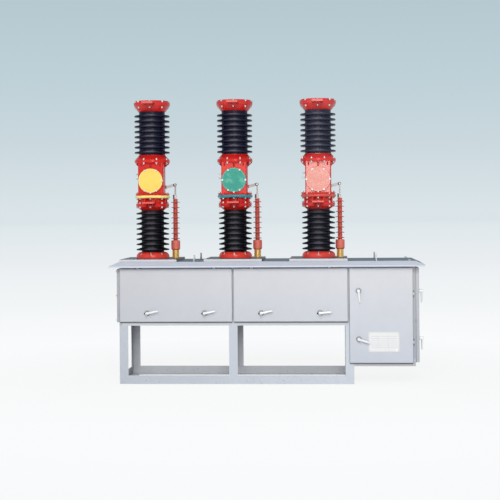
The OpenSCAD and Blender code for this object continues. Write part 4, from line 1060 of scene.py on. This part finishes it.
def floor_finish():
    """White ground: a shadow-keeping diffuse white mixed with a pale glow that turns to the sky's
    colour with distance from the middle, so that the horizon has no line."""
    ground = Finish("floor_white", tone(244, 245, 246), 0.9, specular=0.0)
    distance = ground.add("ShaderNodeVectorMath", {"operation": "LENGTH"}, {0: ground.place}, "Value")
    stops = [(0.0, tone(254, 254, 254)), (0.022, tone(250, 251, 252)), (0.064, tone(242, 245, 246)),
             (0.173, tone(233, 237, 240)), (0.34, tone(227, 234, 237)), (1.0, HORIZON)]
    glow = ground.add("ShaderNodeEmission", {}, {"Color": ground.ramp(distance * (1 / 150), stops)})
    share = ((distance - 1.6) * 0.5).clamped() * 0.12 + 0.88
    diffuse = ground.add("ShaderNodeBsdfDiffuse", {}, {"Color": ground.colour})
    mixed = ground.add("ShaderNodeMixShader", {}, {0: share * seen(ground), 1: diffuse, 2: glow})
    ground.tree.nodes.remove(ground.shader)
    ground.feed(ground.tree.nodes["Material Output"].inputs["Surface"], mixed)
    return ground.material


floor_reach = 1200
floor_mesh = bpy.data.meshes.new("floor")
floor_corners = [(x * floor_reach, y * floor_reach, 0) for x, y in ((-1, -1), (1, -1), (1, 1), (-1, 1))]
floor_mesh.from_pydata(floor_corners, [], [(0, 1, 2, 3)])
floor_mesh.materials.append(floor_finish())
floor = placed("floor", floor_mesh)

world = bpy.data.worlds.new("studio")
world.use_nodes = True
world.node_tree.nodes.clear()
bpy.context.scene.world = world
sky = Graph(world.node_tree)
rise = sky.split(sky.add("ShaderNodeTexCoord", {}, {}, "Generated"))[2]
heaven = sky.ramp(rise * 2, [(0.0, HORIZON), (0.092, tone(204, 217, 223)), (0.168, tone(194, 211, 218)),
                             (0.242, tone(187, 206, 213)), (0.308, tone(182, 201, 208)),
                             (1.0, tone(172, 193, 201))])
shown_sky = sky.add("ShaderNodeBackground", {}, {"Color": heaven, "Strength": 1.0})
light_sky = sky.add("ShaderNodeBackground", {}, {"Color": (0.965, 0.98, 1.0), "Strength": 0.47})
both = sky.add("ShaderNodeMixShader", {}, {0: seen(sky), 1: light_sky, 2: shown_sky})
sky.add("ShaderNodeOutputWorld", {}, {"Surface": both})


def softbox(name, place, aim, size, power):
    """Square area lamp at a place, turned to face a point."""
    lamp = bpy.data.lights.new(name, "AREA")
    lamp.size = size
    lamp.energy = power
    holder = placed(name, lamp)
    holder.location = place
    direction = np.array(aim, float) - np.array(place, float)
    flat = math.hypot(direction[0], direction[1])
    holder.rotation_euler = (math.atan2(flat, -direction[2]), 0, math.atan2(-direction[0], direction[1]))


softbox("key", (0.3, -7.6, 5.2), (0, 0, 1.1), 3.0, 300)
softbox("front", (0.9, -9.6, 2.6), (0.2, 0, 1.4), 2.0, 75)
softbox("fill", (-5.5, -6.0, 3.5), (0, 0, 1.0), 4.0, 45)

camera = placed("camera", bpy.data.cameras.new("camera"))
camera.location = (0.573, -11.0, 1.419)
camera.rotation_euler = (math.radians(90), math.radians(0.447), math.radians(3.758))
camera.data.lens = 94.35
camera.data.shift_y = -0.0798
camera.data.clip_end = 3000
bpy.context.scene.camera = camera
bpy.context.scene.view_settings.view_transform = "Standard"
